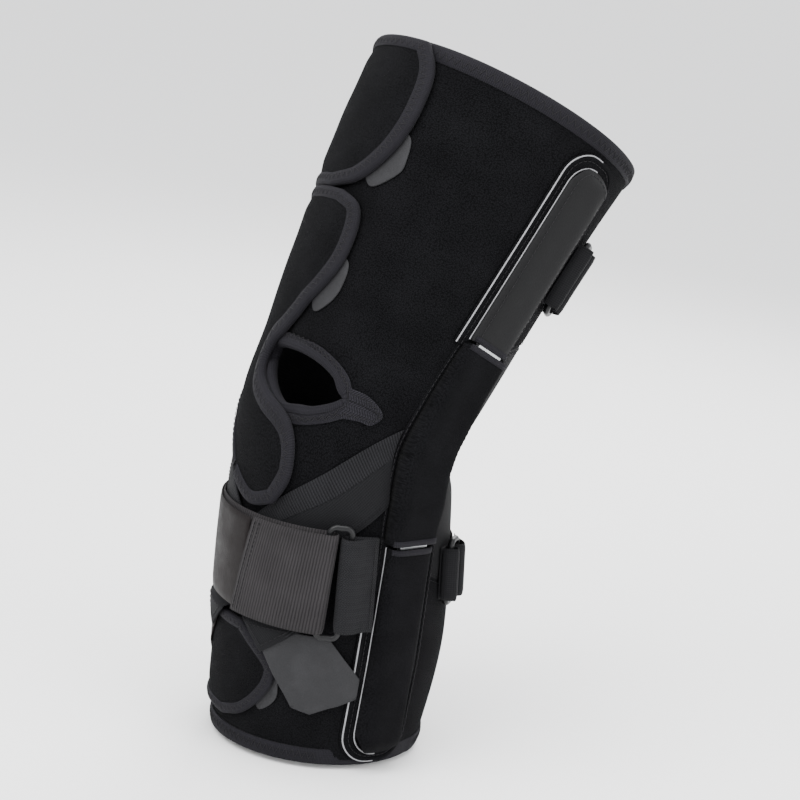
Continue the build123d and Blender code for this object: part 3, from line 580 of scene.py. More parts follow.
    def halves(self, upper, lower, slot, replaces_upper=(), replaces_lower=(), weld=False):
        """Parts the piece at the plane between the pivots into an upper and a lower half, keeping the whole
        piece's normals.
        """
        verts, uvs = np.vstack(self.verts), np.vstack(self.uvs)
        shade = self.first_at(verts) if weld else np.arange(len(verts))
        whole = bpy.data.meshes.new("whole")
        whole.from_pydata([tuple(v) for v in verts], [], [tuple(shade[list(f)]) for f in self.faces])
        whole.update()
        normals = np.empty(len(verts) * 3)
        whole.vertices.foreach_get("normal", normals)
        normals = normals.reshape(-1, 3)[shade]
        bpy.data.meshes.remove(whole)
        centre = np.array([verts[list(f)].mean(0) @ LINK_UP for f in self.faces])
        made = []
        for name, chosen, blend, replaced in (
            (upper, centre > 0, UPPER_BEND, replaces_upper),
            (lower, centre <= 0, LOWER_BEND, replaces_lower),
        ):
            faces = [f for f, take in zip(self.faces, chosen) if take]
            mats = [k for k, take in zip(self.mats, chosen) if take]
            used = np.unique(np.concatenate([np.array(f) for f in faces]))
            back = np.full(len(verts), -1)
            back[used] = np.arange(len(used))
            faces = [tuple(int(back[i]) for i in f) for f in faces]
            piece = self.mesh(name, verts[used], faces, uvs[used], mats)
            if len(piece.data.vertices) == len(used):
                piece.data.normals_split_custom_set_from_vertices([tuple(v) for v in normals[used]])
            settle(piece, replaced, None, blend)
            made.append(piece)
        return made


BEND_REACH = 45 * MM  # distance from the knee's middle along the link's axis, for pieces that cross the knee


def settle(piece, replaces, body, blend):
    """Hides the frame parts that the piece stands for and ties it to a body; a piece across a joint only has
    its transform baked.
    """
    if replaces:
        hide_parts(*replaces)
    if body:
        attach(piece, body)
        return
    first, second, sign = blend
    far = Vector(LINK_UP * BEND_REACH * sign)
    here = Vector((0, 0, 0))
    start, end = (far, here) if sign > 0 else (here, far)
    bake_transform(piece)
    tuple(start)
    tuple(end)


def lay(outline):
    """Works out the size and the area of a piece's cut, without keeping them."""
    x, y = outline.points.T
    next_x, next_y = outline.after.T
    area = abs((x * next_y - next_x * y).sum()) / 2 * MM**2
    width, length = (float(extent) * MM for extent in np.ptp(outline.points, axis=0))


UPPER_BEND = ("thigh", "hinge_links", 1)  # the two bodies, and which side of the plane between the pivots
LOWER_BEND = ("hinge_links", "calf", -1)


def waves(around, level, scale, seed=0.0):
    """Slow waves of soft cloth, from -1 to 1."""
    x, y = np.asarray(around, float) / scale, np.asarray(level, float) / scale
    return (
        np.sin(x * 1.7 + 0.6 * y + seed) * 0.4
        + np.sin(y * 2.1 - 0.8 * x + 1.3 + seed * 2) * 0.35
        + np.sin((x + y) * 3.3 + 2.1 + seed) * 0.25
    )


# ------------------------------------------------------------------ sizes and colours
def length(name, words, value):
    return bpy.props.FloatProperty(name=name, description=words, default=value, unit="LENGTH")


class BraceSizes(bpy.types.PropertyGroup):
    """Sizes of the trims."""

    binding_width: length("Binding width", "Width of the tape folded over the edges", 0.0052)
    stitch_pitch: length("Stitch pitch", "Length of one stitch of the straight seams", 0.0026)
    zigzag_pitch: length("Zigzag pitch", "Step of the zigzag along the bindings", 0.0017)
    piping_radius: length("Piping radius", "Radius of the cord along the pockets", 0.00034)
    crown: length("Flap crown", "How far the padding of a flap swells past its edge", 0.0009)


def shade(name, words, value):
    return bpy.props.FloatVectorProperty(
        name=name, description=words, default=value, size=3, min=0, max=1, subtype="COLOR"
    )


class BraceColours(bpy.types.PropertyGroup):
    """Colours of the cloths, tapes and metals."""

    plush: shade("Plush", "Loop cloth of the wrap and its flaps", (0.0022, 0.0022, 0.0025))
    stretch: shade("Stretch panel", "Knitted panels in front of and behind the knee", (0.0028, 0.0028, 0.0031))
    binding: shade("Binding", "Tape along the edges", (0.0082, 0.0078, 0.0096))
    webbing: shade("Webbing", "Woven strap over the shin", (0.021, 0.0195, 0.0205))
    elastic: shade("Elastic", "Crossed straps and straps behind the leg", (0.0066, 0.0066, 0.0073))
    hook: shade("Hook tape", "Grey tabs at the ends of flaps and straps", (0.0215, 0.0215, 0.023))
    leather: shade("Pocket cloth", "Smooth cloth of the upper pockets", (0.0062, 0.0062, 0.0066))
    piping: shade("Piping", "Thin cord along the pockets", (0.24, 0.24, 0.25))


def size(name):
    return getattr(bpy.context.scene.brace_sizes, name) / MM


def colour(name):
    return tuple(getattr(bpy.context.scene.brace_colours, name))


# ------------------------------------------------------------------ shader groups
class Board:
    """Short hand for wiring a node tree."""

    def __init__(self, tree):
        self.tree = tree

    def node(self, kind, **values):
        made = self.tree.nodes.new("ShaderNode" + kind)
        for key, value in values.items():
            setattr(made, key, value)
        return made

    def wire(self, source, target):
        self.tree.links.new(source, target)
        return self

    def sum(self, op, a, b=None, c=None):
        made = self.node("Math", operation=op)
        for socket, value in zip(made.inputs, (a, b, c)):
            if value is None:
                continue
            if isinstance(value, (int, float)):
                socket.default_value = value
            else:
                self.wire(value, socket)
        return made.outputs[0]

    def unit(self, value):
        """A value kept between 0 and 1."""
        return self.sum("MINIMUM", self.sum("MAXIMUM", value, 0.0), 1.0)

    def noise(self, where, scale, detail=None, roughness=None, flat=True):
        """Noise over the cloth, or through space if not flat."""
        made = self.node("TexNoise", noise_dimensions="2D" if flat else "3D")
        for name, value in (("Scale", scale), ("Detail", detail), ("Roughness", roughness)):
            if value is not None:
                made.inputs[name].default_value = value
        self.wire(where, made.inputs["Vector"])
        return made.outputs[0]

    def mix(self, share, a, b):
        """Two colours mixed by a share."""
        made = self.node("Mix", data_type="RGBA")
        for socket, value in ((made.inputs[0], share), (made.inputs[6], a), (made.inputs[7], b)):
            if isinstance(value, (int, float)):
                socket.default_value = value
            elif isinstance(value, tuple):
                socket.default_value = (*value, 1) if len(value) == 3 else value
            else:
                self.wire(value, socket)
        return made.outputs[2]


def group(name, inputs, outputs):
    """Empty shader group with named sockets, its board and its two end nodes."""
    tree = bpy.data.node_groups.new(name, "ShaderNodeTree")
    for label, kind, value in inputs:
        socket = tree.interface.new_socket(name=label, in_out="INPUT", socket_type=kind)
        socket.default_value = value
    for label, kind in outputs:
        tree.interface.new_socket(name=label, in_out="OUTPUT", socket_type=kind)
    board = Board(tree)
    start, end = tree.nodes.new("NodeGroupInput"), tree.nodes.new("NodeGroupOutput")
    return tree, board, start.outputs, end.inputs


FLOAT, COLOR = "NodeSocketFloat", "NodeSocketColor"


def pile_group():
    """Short loops of plush cloth, with a painted highlight on the raised loop tips and flattened patches."""
    tree, b, start, end = group(
        "Loop pile",
        [
            ("Colour", COLOR, (0, 0, 0, 1)),
            ("Tips", COLOR, (0.1, 0.1, 0.1, 1)),
            ("Loops per mm", FLOAT, 1.6),
            ("Patches", FLOAT, 0.3),
        ],
        [("Colour", COLOR), ("Height", FLOAT), ("Roughness", FLOAT)],
    )
    uv = b.node("TexCoord").outputs["UV"]
    per_mm = b.sum("MULTIPLY", start["Loops per mm"], 1000.0)
    scaled = b.node("VectorMath", operation="SCALE")
    b.wire(uv, scaled.inputs[0]).wire(per_mm, scaled.inputs["Scale"])
    loops = b.node("TexVoronoi", feature="SMOOTH_F1", voronoi_dimensions="2D")
    loops.inputs["Scale"].default_value = 1.0
    loops.inputs["Smoothness"].default_value = 0.35
    b.wire(scaled.outputs[0], loops.inputs["Vector"])
    fuzz = b.noise(scaled.outputs[0], 2.3, 5.0, 0.7)
    slow = b.noise(uv, 55.0, 3.0)
    tip = b.sum("SUBTRACT", 1.0, loops.outputs["Distance"])
    rough = b.sum("MULTIPLY_ADD", fuzz, 0.9, b.sum("MULTIPLY", tip, 0.75))
    # painted highlight: the colour turns paler where the loops rise; the slow patches below are random tone
    painted_tip_highlight = b.unit(b.sum("MULTIPLY", b.sum("SUBTRACT", rough, 0.72), 2.2))
    patch = b.sum("MULTIPLY", b.sum("SUBTRACT", slow, 0.42), start["Patches"])
    share = b.unit(b.sum("ADD", b.sum("MULTIPLY", painted_tip_highlight, 0.5), patch))
    b.wire(b.mix(share, start["Colour"], start["Tips"]), end["Colour"])
    b.wire(rough, end["Height"])
    b.wire(b.sum("MULTIPLY_ADD", fuzz, -0.15, 1.0), end["Roughness"])
    return tree


def rib_group():
    """Ribs along a tape or strap, crossed by finer picks; turned across it or in herringbone if asked."""
    tree, b, start, end = group(
        "Rib weave",
        [
            ("Colour", COLOR, (0, 0, 0, 1)),
            ("Ridges", COLOR, (0.1, 0.1, 0.1, 1)),
            ("Ribs per mm", FLOAT, 0.9),
            ("Picks per mm", FLOAT, 2.2),
            ("Pick depth", FLOAT, 0.3),
            ("Lint", FLOAT, 0.3),
            ("Turned", FLOAT, 0.0),
            ("Herringbone", FLOAT, 0.0),
        ],
        [("Colour", COLOR), ("Height", FLOAT), ("Roughness", FLOAT)],
    )
    uv = b.node("TexCoord").outputs["UV"]
    parts = b.node("SeparateXYZ")
    b.wire(uv, parts.inputs[0])
    shift = b.sum("MULTIPLY", b.sum("SUBTRACT", b.noise(uv, 300.0, 4.0), 0.5), 0.9)
    kept = b.sum("SUBTRACT", 1.0, start["Turned"])
    u, v = parts.outputs[0], parts.outputs[1]
    along = b.sum("MULTIPLY_ADD", u, kept, b.sum("MULTIPLY", v, start["Turned"]))
    across = b.sum("MULTIPLY_ADD", v, kept, b.sum("MULTIPLY", u, start["Turned"]))
    fold = b.sum("ABSOLUTE", b.sum("SUBTRACT", b.sum("FRACT", b.sum("MULTIPLY", across, 300.0)), 0.5))
    along = b.sum("ADD", along, b.sum("MULTIPLY", b.sum("MULTIPLY", fold, start["Herringbone"]), 0.0033))
    ribs = b.sum("MULTIPLY", b.sum("MULTIPLY", along, start["Ribs per mm"]), 1000 * math.pi)
    picks = b.sum("MULTIPLY", b.sum("MULTIPLY", across, start["Picks per mm"]), 1000 * math.pi)
    rib = b.sum("ABSOLUTE", b.sum("SINE", b.sum("ADD", ribs, shift)))
    pick = b.sum("ABSOLUTE", b.sum("SINE", b.sum("ADD", picks, shift)))
    woven = b.sum("MULTIPLY_ADD", pick, start["Pick depth"], b.sum("SUBTRACT", 1.0, start["Pick depth"]))
    height = b.sum("MULTIPLY", b.sum("POWER", rib, 0.6), woven)
    lint = b.noise(uv, 2600.0, 3.0)
    slow = b.noise(uv, 70.0)
    specks = b.sum("MULTIPLY", b.sum("SUBTRACT", lint, 0.5), start["Lint"])
    # painted highlight: the colour turns paler on the raised ribs and stays dark in the grooves; lint specks
    # and slow noise add random tone
    tone = b.sum("ADD", b.sum("MULTIPLY", height, 0.75), specks)
    tone = b.sum("ADD", tone, b.sum("MULTIPLY", b.sum("SUBTRACT", slow, 0.5), 0.35))
    b.wire(b.mix(b.unit(tone), start["Colour"], start["Ridges"]), end["Colour"])
    b.wire(b.sum("MULTIPLY_ADD", lint, start["Lint"], height), end["Height"])
    b.wire(b.sum("MULTIPLY_ADD", height, -0.18, 0.92), end["Roughness"])
    return tree


def grain_group():
    """Fine pebbles or hooks, with scuffs where the surface has rubbed."""
    tree, b, start, end = group(
        "Fine grain",
        [
            ("Colour", COLOR, (0, 0, 0, 1)),
            ("Scuffs", COLOR, (0.1, 0.1, 0.1, 1)),
            ("Grains per mm", FLOAT, 2.0),
            ("Evenness", FLOAT, 0.5),
            ("Wear", FLOAT, 0.3),
        ],
        [("Colour", COLOR), ("Height", FLOAT), ("Roughness", FLOAT)],
    )
    uv = b.node("TexCoord").outputs["UV"]
    scaled = b.node("VectorMath", operation="SCALE")
    b.wire(uv, scaled.inputs[0]).wire(b.sum("MULTIPLY", start["Grains per mm"], 1000.0), scaled.inputs["Scale"])
    grains = b.node("TexVoronoi", feature="F1", voronoi_dimensions="2D")
    grains.inputs["Scale"].default_value = 1.0
    b.wire(scaled.outputs[0], grains.inputs["Vector"])
    b.wire(b.sum("SUBTRACT", 1.0, start["Evenness"]), grains.inputs["Randomness"])
    rubbed = b.noise(uv, 90.0, 6.0, 0.65)
    fine = b.noise(uv, 1500.0)
    bump = b.sum("SUBTRACT", 1.0, b.sum("POWER", grains.outputs["Distance"], 1.6))
    rubbing = b.sum("MAXIMUM", b.sum("SUBTRACT", rubbed, 0.45), 0.0)
    worn = b.sum("MULTIPLY", rubbing, b.sum("MULTIPLY", start["Wear"], 4.0))
    tone = b.sum("ADD", worn, b.sum("MULTIPLY", b.sum("SUBTRACT", fine, 0.4), 0.5))
    tone = b.unit(b.sum("MULTIPLY", tone, bump))
    b.wire(b.mix(tone, start["Colour"], start["Scuffs"]), end["Colour"])
    b.wire(b.sum("MULTIPLY_ADD", fine, 0.4, bump), end["Height"])
    b.wire(b.sum("MULTIPLY_ADD", rubbed, 0.35, 0.42), end["Roughness"])
    return tree


def brushed_group():
    """Drawn or moulded surface: fine lines along one way, dull spots and small marks."""
    tree, b, start, end = group(
        "Drawn surface",
        [
            ("Colour", COLOR, (0.5, 0.5, 0.5, 1)),
            ("Marks", COLOR, (0.3, 0.3, 0.3, 1)),
            ("Stretch", FLOAT, 20.0),
            ("Polish", FLOAT, 0.3),
        ],
        [("Colour", COLOR), ("Height", FLOAT), ("Roughness", FLOAT)],
    )
    where = b.node("TexCoord").outputs["Object"]
    parts, joined = b.node("SeparateXYZ"), b.node("CombineXYZ")
    b.wire(where, parts.inputs[0])
    b.wire(b.sum("MULTIPLY", parts.outputs[0], start["Stretch"]), joined.inputs[0])
    b.wire(b.sum("MULTIPLY", parts.outputs[1], start["Stretch"]), joined.inputs[1])
    b.wire(parts.outputs[2], joined.inputs[2])
    lines = b.noise(joined.outputs[0], 120.0, 4.0, flat=False)
    marks = b.noise(where, 260.0, 5.0, 0.7, flat=False)
    spots = b.unit(b.sum("MULTIPLY", b.sum("SUBTRACT", marks, 0.52), 5.0))
    b.wire(b.mix(spots, start["Colour"], start["Marks"]), end["Colour"])
    b.wire(lines, end["Height"])
    b.wire(b.sum("ADD", start["Polish"], b.sum("MULTIPLY", lines, 0.22)), end["Roughness"])
    return tree


def times(tone, share):
    """A colour made paler or darker."""
    return tuple(min(1, x * share) for x in tone)


def finishes():
    """Each finish as its group, the group's inputs, bump depth and plain sockets of the shader."""
    soft = {"Specular IOR Level": 0.02, "Sheen Weight": 0.008, "Sheen Roughness": 0.5}
    woven = {"Specular IOR Level": 0.06, "Sheen Weight": 0.012, "Sheen Roughness": 0.5}
    rough = {"Specular IOR Level": 0.1}

    def pile(tone, tips, loops, patches, depth):
        # tips: how much paler the painted highlight on the loop tips is
        values = {"Colour": tone, "Tips": times(tone, tips), "Loops per mm": loops, "Patches": patches}
        return "Loop pile", values, depth, soft

    def ribs(tone, low, high, per_mm, picks, pick_depth, lint, depth, turned_by=0.0, herring=0.0):
        # high: how much paler the painted highlight on the ribs is
        values = {"Colour": times(tone, low), "Ridges": times(tone, high), "Ribs per mm": per_mm}
        values |= {"Picks per mm": picks, "Pick depth": pick_depth, "Lint": lint}
        values |= {"Turned": turned_by, "Herringbone": herring}
        return "Rib weave", values, depth, woven

    def grain(tone, low, high, per_mm, even, wear, depth, plain=rough):
        values = {"Colour": times(tone, low), "Scuffs": times(tone, high), "Grains per mm": per_mm}
        values |= {"Evenness": even, "Wear": wear}
        return "Fine grain", values, depth, plain

    def drawn(tone, marks, stretch, polish, depth, plain):
        values = {"Colour": tone, "Marks": times(tone, marks), "Stretch": stretch, "Polish": polish}
        return "Drawn surface", values, depth, plain

    metal = {"Metallic": 1.0}
    plush, stretch, tape, elastic = (colour(name) for name in ("plush", "stretch", "binding", "elastic"))
    webbing, hook, piping = colour("webbing"), colour("hook"), colour("piping")
    return {
        "plush": pile(plush, 4.6, 1.35, 0.45, 0.5),
        "sleeve": pile(plush, 4.6, 1.9, 0.4, 0.35),
        "stretch": ribs(stretch, 1.0, 2.4, 1.1, 1.5, 0.5, 0.5, 0.3),
        "lining": ribs(stretch, 1.3, 2.8, 0.8, 0.8, 0.6, 0.4, 0.25),
        "binding": ribs(tape, 0.65, 1.6, 1.25, 0.9, 0.35, 0.9, 0.3),
        "binding_knit": ribs(tape, 0.45, 2.3, 0.75, 0.9, 0.35, 0.5, 0.4, 0.0, 1.0),
        "webbing": ribs(webbing, 0.35, 1.7, 0.72, 2.1, 0.4, 0.3, 0.45),
        "elastic": ribs(elastic, 0.7, 1.5, 1.0, 0.9, 0.45, 0.45, 0.25, 1.0),
        "elastic_band": ribs(elastic, 0.4, 2.4, 0.78, 0.8, 0.25, 0.4, 0.45),
        "elastic_knit": ribs(elastic, 0.5, 2.6, 0.85, 0.9, 0.4, 0.5, 0.4, 0.0, 1.0),
        "hook": grain(hook, 0.8, 1.6, 1.5, 0.75, 0.35, 0.3),
        "hook_brown": grain((0.0042, 0.003, 0.003), 1, 2.2, 1.5, 0.75, 0.35, 0.3),
        "leather": grain(colour("leather"), 0.75, 1.7, 1.1, 0.1, 0.3, 0.16),
        "thread": grain((0.012, 0.0115, 0.0125), 1, 2.4, 3.0, 0.3, 0.4, 0.1),
        "thread_dark": grain((0.003, 0.003, 0.0035), 1, 3.0, 3.0, 0.3, 0.4, 0.1),
        "piping": grain(piping, 0.75, 1.5, 2.5, 0.2, 0.5, 0.12, {"Metallic": 0.2}),
        "aluminium": drawn((0.5, 0.51, 0.52), 0.7, 18.0, 0.24, 0.05, metal),
        "plate": drawn((0.52, 0.53, 0.54), 0.7, 9.0, 0.3, 0.06, metal),
        "rivet": drawn((0.62, 0.62, 0.63), 0.68, 2.0, 0.18, 0.03, metal),
        "nylon": drawn((0.74, 0.73, 0.69), 0.89, 2.0, 0.42, 0.04, {"Subsurface Weight": 0.1}),
        "plastic": drawn((0.004, 0.004, 0.0045), 2.0, 1.5, 0.3, 0.05, {"Specular IOR Level": 0.22}),
        "foam": grain((0.02, 0.02, 0.021), 1, 3.0, 1.3, 0.0, 0.2, 0.3),
        "floor": grain((0.9, 0.9, 0.897), 1, 1.02, 0.05, 0.0, 0.1, 0.0),
    }


MADE = {}


def finish_of(name):
    """The material of a finish, made once."""
    if name in MADE:
        return MADE[name]
    kind, values, depth, plain = finishes()[name]
    material = bpy.data.materials.new(name)
    material.use_nodes = True
    tree = material.node_tree
    tree.nodes.clear()
    b = Board(tree)
    shader, out = b.node("BsdfPrincipled"), b.node("OutputMaterial")
    effect = b.node("Group", node_tree=bpy.data.node_groups[kind])
    for key, value in values.items():
        effect.inputs[key].default_value = (*value, 1) if isinstance(value, tuple) else value
    for key, value in plain.items():
        shader.inputs[key].default_value = value
    b.wire(effect.outputs["Colour"], shader.inputs["Base Color"])
    b.wire(effect.outputs["Roughness"], shader.inputs["Roughness"])
    if depth:
        bump = b.node("Bump")
        bump.inputs["Strength"].default_value = min(1.0, depth * 2)
        bump.inputs["Distance"].default_value = depth * MM
        b.wire(effect.outputs["Height"], bump.inputs["Height"]).wire(bump.outputs[0], shader.inputs["Normal"])
    b.wire(shader.outputs[0], out.inputs[0])
    MADE[name] = material
    return material


# ------------------------------------------------------------------ outlines of the pieces
OPENING = (
    turned((14, -18), (18, -17), (19, -2), (19, 10), (18, 21), (16, 30), (13, 35), (11, 40)),
    turned((11, 40), (8, 35), (5, 26), (4, 18), (3, 8), (5, -1), (9, -11), (14, -18)),
)
FACING = (
    turned((21, -28), (23, -12), (23, 4), (23, 17), (21, 29), (18, 38), (15, 42)),
    turned((15, 42), (15, 51), (13, 59), (10, 63), (6, 59), (6, 53), (5, 44)),
    turned((5, 44), (2, 37), (-1, 26), (-2, 17), (-1, 5), (3, -8), (9, -19), (14, -26), (21, -28)),
)
TOP_FLAP = (
    turned((166.5, -78), (166.5, 6)),
    turned((166.5, 6), (157, 13), (145, 16), (127, 16), (111, 11.5), (98, 1.5), (92, -14)),
    turned((92, -14), (92, -78)),
    turned((92, -78), (166.5, -78)),
)
THIGH_FLAP = (
    turned((90.5, -78), (90.5, -4)),
    turned((90.5, -4), (87, 7), (78, 11.5), (62, 11.5), (48, 6.5), (38, 1), (31, -2.5), (24, -8), (19, -14),
           (13, -16), (8, -12), (4, -1), (1, 11), (-2, 18), (-7, 22.5), (-13, 24), (-19, 23), (-28, 17)),
    turned((-28, 17), (-31, 3), (-24.5, -15)),
    turned((-24.5, -15), (3, -54)),
    turned((3, -54), (47.5, -56)),
    turned((47.5, -56), (56, -78)),
    turned((56, -78), (90.5, -78)),
)
SHIN_FLAP = (
    turned((-90, -63), (-90, 5)),
    turned((-90, 5), (-104, 24), (-113, 26.5), (-124, 21), (-134, 10), (-139, -4)),
    turned((-139, -4), (-139, -63)),
    turned((-139, -63), (-90, -63)),
)


def loop(runs, step=1.6, kinds=None):
    return Outline([(run, kinds[i] if kinds else "free") for i, run in enumerate(runs)], step)


def edge_line(runs, step=1.2):
    """One line along several runs of an outline."""
    lines = [flowing(run, step) for run in runs]
    return np.vstack([lines[0], *[line[1:] for line in lines[1:]]])


def parting(outlines, step):
    """Where some cloth crosses the plane between the pivots: lines that leave out its holes."""
    found = []
    for outline in outlines:
        for a, b in zip(outline.points, outline.after):
            if (a[1] > 0) != (b[1] > 0):
                found.append(a[0] + (b[0] - a[0]) * a[1] / (a[1] - b[1]))
    found.sort()
    return [flowing([(a, 0), (b, 0)], step) for a, b in zip(found[::2], found[1::2])]


# ------------------------------------------------------------------ pieces
class Piece(bpy.types.Operator):
    """Shared by the operators that sew one piece or a group of like pieces."""

    bl_options = {"REGISTER", "UNDO"}

    def execute(self, context):
        self.make()
        return {"FINISHED"}

    @staticmethod
    def inset(line, distance, side):
        along = np.gradient(line, axis=0)
        normal = np.column_stack([-along[:, 1], along[:, 0]]) * side
        normal /= np.linalg.norm(normal, axis=1)[:, None]
        return line + normal * distance


class BRACE_OT_wrap(Piece):
    """Sew the wrap and its stretch panels, open over the kneecap"""

    bl_idname = "brace.wrap"
    bl_label = "Wrap"

    def make(self):
        half = HALF_ROUND
        outer = Outline(
            [
                ([(-half, -151), (half, -151)], "free"),
                ([(half, -151), (half, 167)], "join"),
                ([(half, 167), (-half, 167)], "free"),
                ([(-half, 167), (-half, -151)], "join"),
            ],
            2.6,
        )
        hole = loop(OPENING, 1.6)
        around = np.linspace(-half, half, 140)
        bow = np.cos(np.radians(around / TURN_MM))
        upper_seam = np.column_stack([around, 53.6 - 23 * bow])
        lower_seam = np.column_stack([around, -52.5 + 24 * bow])
        behind = np.abs(around) > 104 * TURN_MM
        sides = (behind & (around < 0), behind & (around > 0))
        seams = [line[side] for line in (upper_seam, lower_seam) for side in sides]

        def panels(x, y):
            low, high = (np.interp(x, around, line[:, 1]) for line in (lower_seam, upper_seam))
            knit = (low < y) & (y < high) & (np.abs(x) > 104 * TURN_MM)
            return np.where(knit, "stretch", "plush")

        def inner(x, y, d):
            return 0.1 * waves(x, y, 15, 2) - CLOTH

        def top(x, y, d):
            sunk = 0
            for line in (upper_seam, lower_seam):
                gap = np.abs(y - np.interp(x, around, line[:, 1]))
                sunk = sunk + 0.55 * np.exp(-((gap / 1.3) ** 2)) * ease(np.abs(x), 98, 104)
            return 0.05 + 0.13 * waves(x, y, 19) - sunk

        sewn = Sewn("wrap")
        sewn.cloth(
            [outer, hole],
            round_leg,
            inner,
            top,
            3.0,
            1.5,
            "plush",
            under="lining",
            lines=[*seams, *parting([outer, hole], 2.6)],
            zone=panels,
        )
        for line in seams:
            for shift in (-1.9, 1.9):
                sewn.seam(line + np.array((0, shift)), -0.02, round_leg, "thread_dark", radius=0.15)
        halves = sewn.halves(
            "wrap_thigh_half",
            "wrap_calf_half",
            "plush_cloth",
            ("thigh_wrap", "knee_front_panel"),
            ("calf_wrap", "popliteal_panel"),
            weld=True,
        )


class BRACE_OT_hems(Piece):
    """Fold binding over the top and bottom edges of the wrap"""

    bl_idname = "brace.hems"
    bl_label = "Hems"

    def make(self):
        wide = 6.8
        inner = -CLOTH
        profile = [
            (wide, 0.12),
            (wide - 0.3, 0.75),
            (wide * 0.5, 0.95),
            (0.6, 0.92),
            (-0.7, 0.55),
            (-1.35, -0.7),
            (-1.5, inner / 2),
            (-1.35, inner + 0.7),
            (-0.7, inner - 0.55),
            (0.6, inner - 0.9),
            (wide * 0.5, inner - 0.95),
            (wide - 0.3, inner - 0.75),
            (wide, inner - 0.12),
            (0.4, inner - 0.1),
            (-0.25, inner / 2),
            (0.4, 0.1),
        ]
        half = HALF_ROUND

        def under_base(x, y, tall):
            """Flat beneath the ends of the pocket bases."""
            turn = np.abs(x / TURN_MM)
            free = np.clip(ease(np.abs(turn - 88), 25, 31), 0.12, 1)
            return np.where(tall > 0, tall * free, tall)

        for name, level, side, heights in (
            ("top_hem", 167, 1, None),
            ("bottom_hem", -151, -1, under_base),
        ):
            line = flowing([(half, level), (-half, level)], 2.0)
            sewn = Sewn(name)
            sewn.tape(line[:-1], profile, round_leg, "binding", closed=True, side=side, heights=heights)
            if side > 0:
                sewn.zigzag(line, 1.4, 5.2, 1.0, round_leg, pitch=size("zigzag_pitch"), side=side)
                sewn.done(("thigh_top_hem",), body="thigh")
            else:
                clear = np.abs(np.abs(line[:, 0] / TURN_MM) - 88) > 31
                for part in self.runs(line, clear):
                    sewn.zigzag(part, 1.4, 5.2, 1.0, round_leg, pitch=size("zigzag_pitch"), side=side)
                sewn.done(("calf_bottom_hem",), body="calf")

    @staticmethod
    def runs(line, keep):
        """The unbroken stretches of a line that are kept."""
        parts, now = [], []
        for point, ok in zip(line, keep):
            if ok:
                now.append(point)
            elif now:
                parts.append(np.array(now))
                now = []
        if now:
            parts.append(np.array(now))
        return [part for part in parts if len(part) > 3]


FLAP_LOW, FLAP_TOP = 1.6, 4.6  # heights of the thigh flaps over the wrap


def bound_edge(sewn, line, top, bottom, place, width=None):
    """Tape folded over an edge of a flap, sewn with a zigzag."""
    wide = width or size("binding_width")
    middle = (top + bottom) / 2
    profile = [
        (wide, top + 0.06),
        (wide - 0.25, top + 0.5),
        (wide * 0.55, top + 0.78),
        (0.5, top + 0.7),
        (-0.45, top + 0.1),
        (-0.8, middle),
        (-0.5, bottom - 0.02),
        (0.4, bottom - 0.2),
        (wide - 0.2, bottom - 0.2),
        (wide, bottom),
        (0.5, bottom + 0.05),
        (0.2, middle),
        (0.5, top),
    ]
    sewn.tape(line, profile, place, "binding", side=-1)
    sewn.zigzag(line, 1.0, wide - 1.1, top + 0.72, place, pitch=size("zigzag_pitch"), side=-1)


class BRACE_OT_top_flap(Piece):
    """Sew the padded flap that closes over the top of the thigh, with its binding"""

    bl_idname = "brace.top_flap"
    bl_label = "Top flap"

    def make(self):
        crown = size("crown")

        def swell(x, y, d):
            return FLAP_TOP + crown * ease(d, 4.5, 13) + 0.22 * waves(x, y, 13, 1) * ease(d, 5, 12)

        sewn = Sewn("top_flap_cloth")
        sewn.cloth([loop(TOP_FLAP)], round_leg, FLAP_LOW, swell, 2.2, 1.3, "plush")
        bound_edge(sewn, edge_line(TOP_FLAP[:3]), FLAP_TOP, FLAP_LOW, round_leg)
        flap = sewn.done(("top_flap", "top_flap_binding"), body="thigh")


class BRACE_OT_thigh_flap(Piece):
    """Sew the flap that closes over the thigh and runs down beside the kneecap"""

    bl_idname = "brace.thigh_flap"
    bl_label = "Thigh flap"

    def make(self):
        crown = size("crown")

        def swell(x, y, d):
            thick = 4.3 + 0.3 * ease(y, 22, 40)
            puff = (0.45 + (crown - 0.45) * ease(y, 22, 45)) * ease(d, 4.5, 12)
            return thick + puff + 0.2 * waves(x, y, 13, 1) * ease(d, 5, 12)

        outline = loop(THIGH_FLAP)
        sewn = Sewn("thigh_flap_cloth")
        sewn.cloth([outline], round_leg, FLAP_LOW, swell, 2.2, 1.3, "plush", lines=parting([outline], 2.2))
        bound_edge(sewn, edge_line(THIGH_FLAP[:3]), FLAP_TOP - 0.2, FLAP_LOW, round_leg)
        strip = edge_line(THIGH_FLAP[3:4])
        flat_tape = [(0.4, 4.2), (1.0, 4.75), (3.4, 4.85), (4.0, 4.3)]
        sewn.tape(strip[3:-1], flat_tape, round_leg, "binding", side=-1)
        sewn.seam(Piece.inset(strip, 2.2, -1)[3:-2], 4.95, round_leg, "thread", pitch=2.2)
        halves = sewn.halves(
            "thigh_flap_upper",
            "thigh_flap_lower",
            "plush_cloth",
            ("thigh_flap", "thigh_flap_binding", "knee_flap"),
            (),
        )


